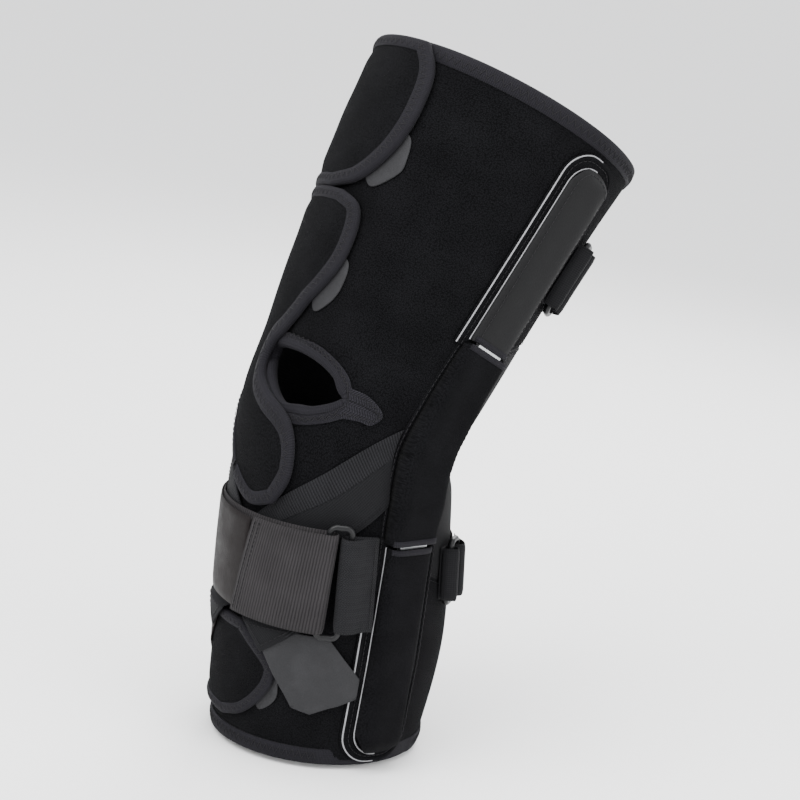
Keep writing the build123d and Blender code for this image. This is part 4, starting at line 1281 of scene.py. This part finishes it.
class BRACE_OT_kneecap_binding(Piece):
    """Sew the shaped facing round the kneecap opening"""

    bl_idname = "brace.kneecap_binding"
    bl_label = "Kneecap binding"

    def make(self):
        def face(x, y, d):
            return 1.15 + 0.08 * waves(x, y, 8)

        def tail(x, y):
            return np.where(x > 42 * TURN_MM, "binding_knit", "binding")

        sewn = Sewn("kneecap_binding")
        outer, hole = loop(FACING, 1.4), loop(OPENING, 1.4)
        sewn.cloth(
            [outer, hole],
            round_leg,
            0.3,
            face,
            1.7,
            0.5,
            "binding",
            lines=parting([outer, hole], 1.4),
            zone=tail,
        )
        roll = [(2.9, 1.1), (2.2, 1.42), (1.0, 1.4), (0.0, 0.7), (-0.4, -CLOTH / 2), (0.0, -CLOTH - 0.5)]
        roll += [(1.2, -CLOTH - 0.9), (2.9, -CLOTH - 0.7), (3.0, -CLOTH - 0.1), (0.9, -CLOTH - 0.05)]
        roll += [(0.6, -CLOTH / 2), (0.9, 0.6)]
        rim = edge_line(OPENING, 1.2)
        sewn.tape(rim[:-1], roll, round_leg, "binding", closed=True, side=1)
        sewn.zigzag(rim, 3.2, 4.4, 1.25, round_leg, pitch=size("zigzag_pitch"), side=1)
        hem = edge_line(FACING, 1.4)
        sewn.zigzag(hem, 0.9, 2.2, 1.2, round_leg, pitch=size("zigzag_pitch"), side=-1)
        dart = turned((11, 41.5), (11.5, 50), (10.5, 60))
        sewn.seam(dart, 1.2, round_leg, "thread_dark", pitch=1.8, radius=0.22)
        sewn.halves("kneecap_binding_upper", "kneecap_binding_lower", "binding_tape", ("kneecap_binding",), ())


class BRACE_OT_shin_flap(Piece):
    """Sew the flap that closes below the shin strap, with its binding"""

    bl_idname = "brace.shin_flap"
    bl_label = "Shin flap"

    def make(self):
        sewn = Sewn("shin_flap_cloth")

        def swell(x, y, d):
            return 2.75 + 0.3 * ease(d, 4.5, 11) + 0.08 * waves(x, y, 12, 5)

        sewn.cloth([loop(SHIN_FLAP)], round_leg, 0.35, swell, 2.2, 1.1, "plush")
        bound_edge(sewn, edge_line(SHIN_FLAP[:3]), 2.6, 0.45, round_leg, width=4.6)
        flap = sewn.done(("shin_flap", "shin_flap_binding"), body="calf")


# name, the edge that shows, body, heights: from, to, and how much both rise past the flap
TABS = (
    (
        "top_flap_tab",
        ((126, 8), (124, 17.5), (114, 20.5), (106.5, 19.5), (97, 9), (104, 0)),
        "thigh",
        (0.3, 1.3, 0, 0),
    ),
    (
        "thigh_flap_tab",
        ((64, 4), (62, 13.5), (52, 15.5), (42, 13), (34.5, 5), (44, -2)),
        "thigh",
        (0.3, 1.3, 0, 0),
    ),
    (
        "shin_flap_tab",
        ((-107.5, 22), (-107.5, 26.5), (-110, 28.5), (-122.5, 29.5), (-130.5, 20.5), (-126, 16)),
        "calf",
        (0.05, 0.33, 0.25, 0.9),
    ),
)


class BRACE_OT_flap_tabs(Piece):
    """Cut the hook tabs that show past the edges of the flaps"""

    bl_idname = "brace.flap_tabs"
    bl_label = "Flap tabs"

    def make(self):
        for name, shown, body, heights in TABS:
            low, high, low_rise, high_rise = heights

            def under(x, y, d):
                return low + low_rise * ease(x / TURN_MM, 26.6, 28.4)

            def over(x, y, d):
                return high + high_rise * ease(x / TURN_MM, 26.6, 28.4)

            sewn = Sewn(name + "_hooks")
            outline = loop((turned(*shown), turned(shown[-1], shown[0])), 1.4)
            sewn.cloth([outline], round_leg, under, over, 2.2, 0.4, "hook")
            tab = sewn.done((name,), body=body)
            lay(outline)


def pocket_runs(half, mouth, end, radius, kind="free"):
    """A strip beside the leg: square at its mouth, rounded at its closed end."""
    way = 1 if end > mouth else -1
    turn = np.linspace(0, math.pi / 2, 9)
    right = [(half - radius + radius * math.cos(t), end - way * (radius - radius * math.sin(t))) for t in turn]
    left = [(-x, y) for x, y in reversed(right)]
    runs = [
        ([(half, mouth), right[0]], "free"),
        (right, "free"),
    ]
    if half - radius > 0.2:
        runs.append(([right[-1], left[0]], "free"))
    runs += [(left, "free"), ([left[-1], (-half, mouth)], "free"), ([(-half, mouth), (half, mouth)], kind)]
    return runs


def tube(radius, inward, height, sides=8):
    """Round profile of a cord for tape()."""
    turns_of = [2 * math.pi * k / sides for k in range(sides)]
    return [(inward + radius * math.cos(t), height + radius * math.sin(t)) for t in turns_of]


BAR_IN, FLARE, BAR_THICK = 52.45, 0.1036, 2.5


def bar_face(level):
    """Leg side of the bars at some levels."""
    return BAR_IN + FLARE * np.maximum(np.asarray(level, float) - 26, 0)


def over_shell(shell, lift=0.0):
    """Heights measured from a shell's face instead of from the wrap."""

    def height(x, y, tall=0.0):
        return shell(x, y, None) + tall + lift

    return height


def mouth_lip(sewn, half, level, way, crown, shell, place):
    """Band of tape across the mouth of a cover."""
    line = flowing([(-half + 0.8, level), (half - 0.8, level)], 1.0)
    band = [(0, 0.25), (1.4, crown), (2.8, 0.25), (2.8, -0.1), (0, -0.1)]
    sewn.tape(line, band, place, "binding", side=way, heights=over_shell(shell))


def base_face(x, y, d):
    """Height of the outer face of the pocket bases."""
    return 1.8 + 0.12 * waves(x, y, 9)


class BRACE_OT_pockets(Piece):
    """Sew the bases and the covers of the four bar pockets"""

    bl_idname = "brace.pockets"
    bl_label = "Bar pockets"

    def make(self):
        for side, sign in SIDES:
            for part, mouth, end, body, cover_cloth in (
                ("upper", 57.0, 152.0, "thigh", "leather"),
                ("lower", -42.0, -146.0, "calf", "sleeve"),
            ):
                self.pocket(side, sign, part, mouth, end, body, cover_cloth)

    def pocket(self, side, sign, part, mouth, end, body, cover_cloth):
        place = beside(sign)
        way = 1 if end > mouth else -1
        base = pocket_runs(18.5, mouth - 4 * way, end + (6 if way > 0 else -4.5), 14.8)
        zig = size("zigzag_pitch")
        sewn = Sewn(f"{side}_{part}_pocket_base_cloth")
        sewn.cloth([Outline(base, 1.6)], place, 0.3, base_face, 2.4, 0.8, "plush")
        line = edge_line([run for run, _ in base[:-1]], 1.3)
        inward = 1 if way > 0 else -1
        radius = size("piping_radius")
        sewn.tape(line[line[:, 0] < 0.5], tube(radius, 0.75, 1.9), place, "piping", side=inward)
        sewn.tape(line, [(0.4, 1.5), (0.6, 2.05), (2.2, 2.1), (2.6, 1.7)], place, "sleeve", side=inward)
        inset = self.inset(line, 3.4, inward)
        sewn.seam(inset, 1.9, place, "thread", pitch=size("stitch_pitch"))
        back = line[line[:, 0] > 16]
        sewn.zigzag(back, 0.9, 2.1, 2.15, place, pitch=zig, side=inward)
        sewn.done((f"{side}_{part}_pocket_base",), body=body)

        half = 12.8
        cover = pocket_runs(half, mouth, end, half * 0.9, kind="cut")

        def shell(wall):
            def height(x, y, d):
                out = (bar_face(y) if way > 0 else BAR_IN) + BAR_THICK + 0.3 + 1.5 - wall
                floor = leg_side(x, y) + (1.95 if wall == 0 else 2.05)
                share = np.clip(1 - np.abs(x / half) ** 3.6, 0, 1) ** (1 / 2.6)
                tip = ease(np.abs(end - y), 0.0, 9.0) ** 0.5
                rise = np.maximum(out - floor, 0.3) * share * tip
                puff = 0.12 * waves(x, y, 7, 1.5) * share if wall == 0 else 0
                return floor + rise + puff - leg_side(x, y)

            return height

        def under(x, y, d):
            return np.minimum(shell(1.25)(x, y, d), shell(0)(x, y, d) - 0.35)

        sewn = Sewn(f"{side}_{part}_pocket_cover_cloth")
        sewn.cloth([Outline(cover, 1.3)], place, under, shell(0), 1.9, 0.6, cover_cloth)
        line = edge_line([run for run, _ in cover[:-1]], 1.3)
        sewn.tape(line[line[:, 0] < 0.5], tube(radius, 0.1, 2.3), place, "piping", side=inward)
        mouth_lip(sewn, half, mouth, way, 0.42, shell(0), place)
        if part == "upper":
            inset = self.inset(line, 2.4, inward)
            sewn.seam(inset, over_shell(shell(0), 0.02), place, "thread", pitch=size("stitch_pitch"))
        sewn.done((f"{side}_{part}_pocket_cover",), body=body)


class BRACE_OT_hinge_covers(Piece):
    """Sew the soft sleeves over the two hinges"""

    bl_idname = "brace.hinge_covers"
    bl_label = "Hinge covers"

    def make(self):
        half, low, high = 13.7, -40.2, 55.6
        for side, sign in SIDES:
            place = beside(sign)
            outline = Outline(
                [
                    ([(half, low), (half, high)], "free"),
                    ([(half, high), (-half, high)], "cut"),
                    ([(-half, high), (-half, low)], "free"),
                    ([(-half, low), (half, low)], "cut"),
                ],
                1.5,
            )

            def shell(wall):
                def height(x, y, d):
                    full = bar_face(y) + 6.95
                    slim = bar_face(y) + 4.7
                    share = (1 - ease(y, 24, 50)) * ease(y, -37, -20)
                    out = slim + (full - slim) * share - wall
                    floor = leg_side(x, y) + 0.3
                    arch = np.clip(1 - np.abs(x / half) ** 7, 0, 1) ** (1 / 4.5)
                    soft = 0.25 * waves(x, y, 8, 0.7) * arch if wall == 0 else 0
                    return floor + np.maximum(out - floor, 0.4) * arch + soft - leg_side(x, y)

                return height

            sewn = Sewn(f"{side}_hinge_cover")

            def under(x, y, d):
                return np.minimum(shell(1.2)(x, y, d), shell(0)(x, y, d) - 0.3)

            middle = flowing([(-half, 0), (half, 0)], 1.3)
            sewn.cloth([outline], place, under, shell(0), 1.7, 0.8, "sleeve", lines=[middle])
            for edge in (-half, half):
                line = flowing([(edge, low), (edge, high)], 1.4)
                inward = 1 if edge < 0 else -1
                hem = [(-1.6, 0.15), (-1.5, 0.75), (0.2, 1.0), (0.9, 0.5), (0.9, 0.15)]
                sewn.tape(line, hem, place, "sleeve", side=-inward)
                row = line + np.array((-0.9 * inward, 0))
                sewn.seam(row, 0.85, place, "thread", pitch=size("stitch_pitch"))
            for level, way in ((low, 1), (high, -1)):
                mouth_lip(sewn, half, level, way, 0.4, shell(0), place)
            halves = sewn.halves(
                f"{side}_hinge_cover_upper",
                f"{side}_hinge_cover_lower",
                "smooth_cloth",
                (f"{side}_hinge_cover",),
                (),
            )


def pad_face(x, y, d):
    """Height of a condyle pad, which ends on the hinge's inner plate."""
    return np.maximum(49.45 - leg_side(x, y), 0.7)


class BRACE_OT_condyle_pads(Piece):
    """Make the foam pads behind the hinges"""

    bl_idname = "brace.condyle_pads"
    bl_label = "Condyle pads"

    def make(self):
        for side, sign in SIDES:
            turn = np.linspace(0, math.pi, 20)
            top = [(10 * math.cos(t), 8.5 + 10 * math.sin(t)) for t in turn]
            bottom = [(-x, -y) for x, y in top]
            outline = loop((top, (top[-1], bottom[0]), bottom, (bottom[-1], top[0])), 1.4)
            sewn = Sewn(f"{side}_condyle_pad_foam")
            sewn.cloth([outline], beside(sign), 0.35, pad_face, 1.8, 0.8, "foam")
            piece = sewn.done((f"{side}_condyle_pad",), body="hinge_links")


STRAP_BAND = 9.5  # width of the ribbed band along a crossed strap
STRAP_SLOPE = math.atan2(88, 96)
CROSS_EDGES = {
    "top": ((9.1, 76.5), (-2, 61), (-12, 45), (-30, 13), (-57, -14), (-84.6, -41)),
    "end": ((-84.6, -41), (-100.5, -20)),
    "tip": ((-100.5, -20), (-87, -8)),
    "bottom": ((-87, -8), (-62, 25), (-35, 62), (-23, 76.5)),
}


def tab_low(x, y, d):
    """Lower side of the crossed straps' tabs: down off the strap, then up on the pocket's base."""
    turn = np.abs(x) / TURN_MM
    return 3.35 - 2.3 * ease(turn, 27, 37) + 1.6 * ease(turn, 54, 62)


def tab_high(x, y, d):
    """Outer side of the crossed straps' tabs."""
    return tab_low(x, y, d) + 0.95


class BRACE_OT_crossed_straps(Piece):
    """Lay the two elastic straps that cross below the knee, and their hook tabs"""

    bl_idname = "brace.crossed_straps"
    bl_label = "Crossed straps"

    def make(self):
        for name, sign, low, high, replaced in (
            ("near_cross_strap_elastic", 1, 0.3, 1.25, "near_cross_strap"),
            ("far_cross_strap_elastic", -1, 1.6, 2.75, "far_cross_strap"),
        ):
            edges = {k: turned(*[(s, a * sign) for s, a in v]) for k, v in CROSS_EDGES.items()}
            runs = [*edges.values(), [edges["bottom"][-1], edges["top"][0]]]
            angle = STRAP_SLOPE * sign

            def under(x, y, d):
                return low + (4.6 - low) * ease(-y, 84.3, 87.0)

            def over(x, y, d):
                return high + (5.75 - high) * ease(-y, 84.3, 87.0)

            edge = flowing(edges["top"], 1.5)

            def band(x, y):
                gap = gaps_to(np.column_stack([x, y]), edge[:-1], edge[1:])
                return np.where(gap < STRAP_BAND, "elastic_band", "elastic")

            sewn = Sewn(name)
            fold = self.inset(edge, STRAP_BAND, sign)[3:-6]
            cloth = loop(runs, 1.6)
            fold = fold[inside(fold, [cloth]) & (gaps_to(fold, cloth.points, cloth.after) > 2)]
            sewn.cloth(
                [cloth], round_leg, under, over, 2.2, 0.45, "elastic", lines=[fold], zone=band, uv_turn=angle
            )
            box = turned(*[(s, a * sign) for s, a in ((-87, -33), (-97, -20.5), (-88.5, -12))])
            for a, b in zip(box, box[1:] + box[:1]):
                sewn.seam([a, b], 5.85, round_leg, "thread", pitch=2.2)
            tall = over_shell(over, 0.02)
            sewn.seam(fold[1:-1], tall, round_leg, "thread_dark", pitch=2.2, radius=0.14)
            row = self.inset(flowing(edges["bottom"], 1.6), 2.4, sign)
            sewn.seam(row[2:-2], tall, round_leg, "thread_dark", pitch=2.0, radius=0.14)
            strap = sewn.done((replaced,), blend=LOWER_BEND)
        tab = ((-88, 14), (-100.5, 21), (-125, 38), (-127, 48), (-117, 69), (-107, 69), (-88, 52), (-88, 38))
        for name, sign, finish, replaced in (
            ("outer_cross_tab", 1, "hook", "far_cross_strap_tab"),
            ("inner_cross_tab", -1, "hook_brown", "near_cross_strap_tab"),
        ):
            runs = [turned(*[(s, a * sign) for s, a in pair]) for pair in zip(tab, tab[1:] + tab[:1])]
            sewn = Sewn(name)
            outline = loop(runs, 1.5)
            sewn.cloth([outline], round_leg, tab_low, tab_high, 2.2, 0.4, finish)
            piece = sewn.done((replaced,), body="calf")
            lay(outline)


def turns(level, length):
    """Cloth millimetres round the leg, at the scale of the turn, that a length covers."""
    wide, deep, _ = section(level)
    return math.degrees(length / ((float(wide) + float(deep)) / 2 + 3)) * TURN_MM


def fold(level, bar, side, low, high, reach):
    """Half turn of a strap round a ring's bar, from the lower height to the upper one."""
    centre, radius = (low + high) / 2, (high - low) / 2
    wide = turns(level, reach)
    bend = np.linspace(0.12, math.pi - 0.12, 13)
    return [(bar - side * wide * math.sin(t), centre - radius * math.cos(t)) for t in bend]


def run_of(start, stop, heights, step=2.2):
    """Path from one turn to another at heights that ease between the given ones."""
    count = max(3, int(abs(stop - start) / step))
    at = np.linspace(0, 1, count)
    levels = np.interp(at, np.linspace(0, 1, len(heights)), heights)
    return [(start + (stop - start) * t, h) for t, h in zip(at, levels)]


class BRACE_OT_shin_strap(Piece):
    """Weave the wide strap over the shin, its hook end and the loop that holds its ring"""

    bl_idname = "brace.shin_strap"
    bl_label = "Shin strap"

    def make(self):
        level, ring = -59.5, 52.0 * TURN_MM
        step = turns(level, 5.0)
        low, high = 3.1 + 0.65, 10.65
        bar = ring - step
        path = run_of(-69 * TURN_MM, bar, [low, low])
        path += fold(level, bar, -1, low, high, 3.35)
        end, lean = 7.0 * TURN_MM, 0.17
        path += run_of(bar - 1, end, [high, high, 10.1, 9.2, 8.6])
        sewn = Sewn("shin_strap_webbing")
        sewn.ribbon(path, level, 49, 1.3, "webbing", round_leg, across=18, lean=lean)
        for shift in (2.0, 4.4):
            ends = [(end + shift + lean * rise, level + rise) for rise in (-23, 23)]
            sewn.seam(ends, 8.75 + 0.7, round_leg, "thread_dark", pitch=2.4, radius=0.2)
        strap = sewn.done(("shin_strap",), blend=LOWER_BEND)

        tab = [(x, h) for x, h in run_of(-76 * TURN_MM, 9 * TURN_MM, [4.9, 4.9, 5.0, 5.8, 7.6])]
        sewn = Sewn("shin_strap_hooks")
        sewn.ribbon(tab, level, 46, 0.9, "hook_brown", round_leg, across=14)
        sewn.done(("shin_strap_tab",), blend=LOWER_BEND)

        bar = ring + step
        path = run_of(71 * TURN_MM, bar, [low, low])
        path += fold(level, bar, 1, low, high, 3.35)
        path += run_of(bar + 1, 71 * TURN_MM, [high, 9.4, 6.6, 5.3, 5.15])
        sewn = Sewn("shin_anchor_elastic")
        sewn.ribbon(path, level, 46, 1.2, "elastic_knit", round_leg, across=14)
        x = 66.5 * TURN_MM
        for shift in (0, 2.6):
            sewn.seam([(x + shift, level - 21), (x + shift, level + 21)], 5.9, round_leg, "thread", pitch=2.2)
        anchor = sewn.done(("shin_strap_anchor",), blend=LOWER_BEND)


class BRACE_OT_back_straps(Piece):
    """Lay the elastic straps across the back of the thigh and the calf, and their ring loops"""

    bl_idname = "brace.back_straps"
    bl_label = "Back straps"

    def make(self):
        for part, level, width, body, blend in (
            ("thigh", 107.0, 32.0, "thigh", None),
            ("calf", -60.0, 26.0, None, LOWER_BEND),
        ):
            ring = 126.0 * TURN_MM
            step = turns(level, 5.0)
            low, high = 0.9, 7.7
            bar = ring + step
            path = run_of(243 * TURN_MM, bar, [low, low])
            path += fold(level, bar, 1, low, high, 3.3)
            path += run_of(bar + 1, bar + 3 * step, [high, 6.3, 3.4, 2.25, 2.2])
            sewn = Sewn(f"{part}_back_strap_elastic")
            sewn.ribbon(path, level, width, 1.15, "elastic", round_leg, across=12)
            for shift in (0.6, 3.0):
                x = bar + 3 * step - shift
                reach = width / 2 - 1.5
                sewn.seam([(x, level - reach), (x, level + reach)], 2.9, round_leg, "thread", pitch=2.2)
            strap = sewn.done((f"{part}_back_strap",), body=body, blend=blend)

            bar = ring - step
            end = 116 * TURN_MM
            path = run_of(end, bar, [low, low])
            path += fold(level, bar, -1, low, high, 3.3)
            path += run_of(bar - 1, end, [high, 6.0, 3.0, 2.15])
            sewn = Sewn(f"{part}_strap_anchor_elastic")
            sewn.ribbon(path, level, width, 1.15, "elastic", round_leg, across=12)
            sewn.done((f"{part}_strap_anchor",), body=body or "calf")


METALWORK = (
    ("aluminium", "aluminium_bar", ("thigh_bar", "calf_bar")),
    ("plate", "steel_plate", ("hinge_inner_plate", "hinge_outer_plate")),
    ("rivet", "rivet_steel", ("hinge_rivets",)),
    ("nylon", "nylon", ("hinge_washers", "extension_stop")),
)


class BRACE_OT_metalwork(Piece):
    """Finish the bars, hinges and rings of the frame"""

    bl_idname = "brace.metalwork"
    bl_label = "Bars, hinges and rings"

    def make(self):
        for finish, slot, parts in METALWORK:
            for part in parts:
                for side in ("near", "far"):
                    self.dress(f"{side}_{part}", finish, slot)
        for ring in ("shin_strap_ring", "thigh_strap_ring", "calf_strap_ring"):
            self.dress(ring, "plastic", "ring_plastic")

    @staticmethod
    def dress(node, finish, slot):
        piece = NODES[node]
        piece.data.materials.clear()
        piece.data.materials.append(finish_of(finish))


class BRACE_OT_finishes(Piece):
    """Build the shader groups that the materials share"""

    bl_idname = "brace.finishes"
    bl_label = "Finishes"

    def make(self):
        for build in (pile_group, rib_group, grain_group, brushed_group):
            build()


class BRACE_OT_stage(Piece):
    """Set the floor, the soft lights and the camera"""

    bl_idname = "brace.stage"
    bl_label = "Stage"

    def make(self):
        low, _ = CAD_BOX
        ring = np.linspace(0, 2 * math.pi, 65)[:-1]
        verts = [(0, 0, 0)] + [(14 * math.cos(t), 14 * math.sin(t), 0) for t in ring]
        faces = [(0, i + 1, (i + 1) % 64 + 1) for i in range(64)]
        data = bpy.data.meshes.new("floor")
        data.from_pydata(verts, [], faces)
        layer = data.uv_layers.new(name="Floor")
        for corner in data.loops:
            layer.data[corner.index].uv = verts[corner.vertex_index][:2]
        data.materials.append(finish_of("floor"))
        floor = bpy.data.objects.new("floor", data)
        floor.location.z = low.z - 0.002
        bpy.context.scene.collection.objects.link(floor)

        world = bpy.data.worlds.new("studio")
        bpy.context.scene.world = world
        world.use_nodes = True
        sky = world.node_tree.nodes["Background"]
        sky.inputs[0].default_value = (0.98, 0.985, 1.0, 1)
        sky.inputs[1].default_value = 1.9
        for name, azimuth, rise, far, power, wide in (
            ("key", 8, 42, 1.1, 13, 0.7),
            ("fill", 105, 20, 1.3, 9, 0.9),
            ("top", 50, 82, 1.2, 14, 0.8),
            ("rim", 215, 35, 1.2, 12, 0.6),
        ):
            self.lamp(name, azimuth, rise, far, power, wide)
        self.camera()

    @staticmethod
    def lamp(name, azimuth, rise, far, power, wide):
        """A square soft light that faces the brace."""
        light = bpy.data.lights.new(name, "AREA")
        light.energy = power
        light.size = wide
        lamp = bpy.data.objects.new(name, light)
        a, e = math.radians(azimuth), math.radians(rise)
        way = Vector((math.sin(a) * math.cos(e), -math.cos(a) * math.cos(e), math.sin(e)))
        lamp.location = way * far
        lamp.rotation_mode = "QUATERNION"
        lamp.rotation_quaternion = way.to_track_quat("Z", "Y")
        bpy.context.scene.collection.objects.link(lamp)

    @staticmethod
    def camera():
        """Long lens, from the front and the outer side, a little above the knee."""
        azimuth, rise, roll = (math.radians(x) for x in (49.25, 14.21, 8.47))
        distance = 1.1591
        right = Vector((math.cos(azimuth), math.sin(azimuth), 0))
        toward = Vector(
            (math.sin(azimuth) * math.cos(rise), -math.cos(azimuth) * math.cos(rise), math.sin(rise))
        )
        up = toward.cross(right)
        right, up = (
            right * math.cos(roll) + up * math.sin(roll),
            up * math.cos(roll) - right * math.sin(roll),
        )
        data = bpy.data.cameras.new("camera")
        data.lens, data.sensor_width = 110.3, 36
        data.shift_x, data.shift_y = 0.055, 0.0345
        data.clip_start, data.clip_end = 0.05, 20
        camera = bpy.data.objects.new("camera", data)
        turn = Matrix((right, up, toward)).transposed().to_4x4()
        camera.matrix_world = Matrix.Translation(toward * distance) @ turn
        bpy.context.scene.collection.objects.link(camera)
        bpy.context.scene.camera = camera


PIECES = (
    BRACE_OT_finishes,
    BRACE_OT_wrap,
    BRACE_OT_hems,
    BRACE_OT_top_flap,
    BRACE_OT_thigh_flap,
    BRACE_OT_kneecap_binding,
    BRACE_OT_shin_flap,
    BRACE_OT_flap_tabs,
    BRACE_OT_pockets,
    BRACE_OT_hinge_covers,
    BRACE_OT_condyle_pads,
    BRACE_OT_crossed_straps,
    BRACE_OT_shin_strap,
    BRACE_OT_back_straps,
    BRACE_OT_metalwork,
    BRACE_OT_stage,
)


class BRACE_PT_panel(bpy.types.Panel):
    """Lists the pieces of the brace and the sizes and colours of its trims"""

    bl_idname = "BRACE_PT_panel"
    bl_label = "Knee brace"
    bl_space_type = "VIEW_3D"
    bl_region_type = "UI"
    bl_category = "Brace"

    def draw(self, context):
        for settings in (context.scene.brace_sizes, context.scene.brace_colours):
            box = self.layout.box()
            for name in settings.__annotations__:
                box.prop(settings, name)
        for piece in PIECES:
            self.layout.operator(piece.bl_idname)


def register():
    for kind in (BraceSizes, BraceColours, *PIECES, BRACE_PT_panel):
        bpy.utils.register_class(kind)
    bpy.types.Scene.brace_sizes = bpy.props.PointerProperty(type=BraceSizes)
    bpy.types.Scene.brace_colours = bpy.props.PointerProperty(type=BraceColours)


def unregister():
    del bpy.types.Scene.brace_colours
    del bpy.types.Scene.brace_sizes
    for kind in reversed((BraceSizes, BraceColours, *PIECES, BRACE_PT_panel)):
        bpy.utils.unregister_class(kind)


def main():
    register()
    for piece in PIECES:
        group_name, call = piece.bl_idname.split(".")
        getattr(getattr(bpy.ops, group_name), call)()


if __name__ == "__main__":
    main()
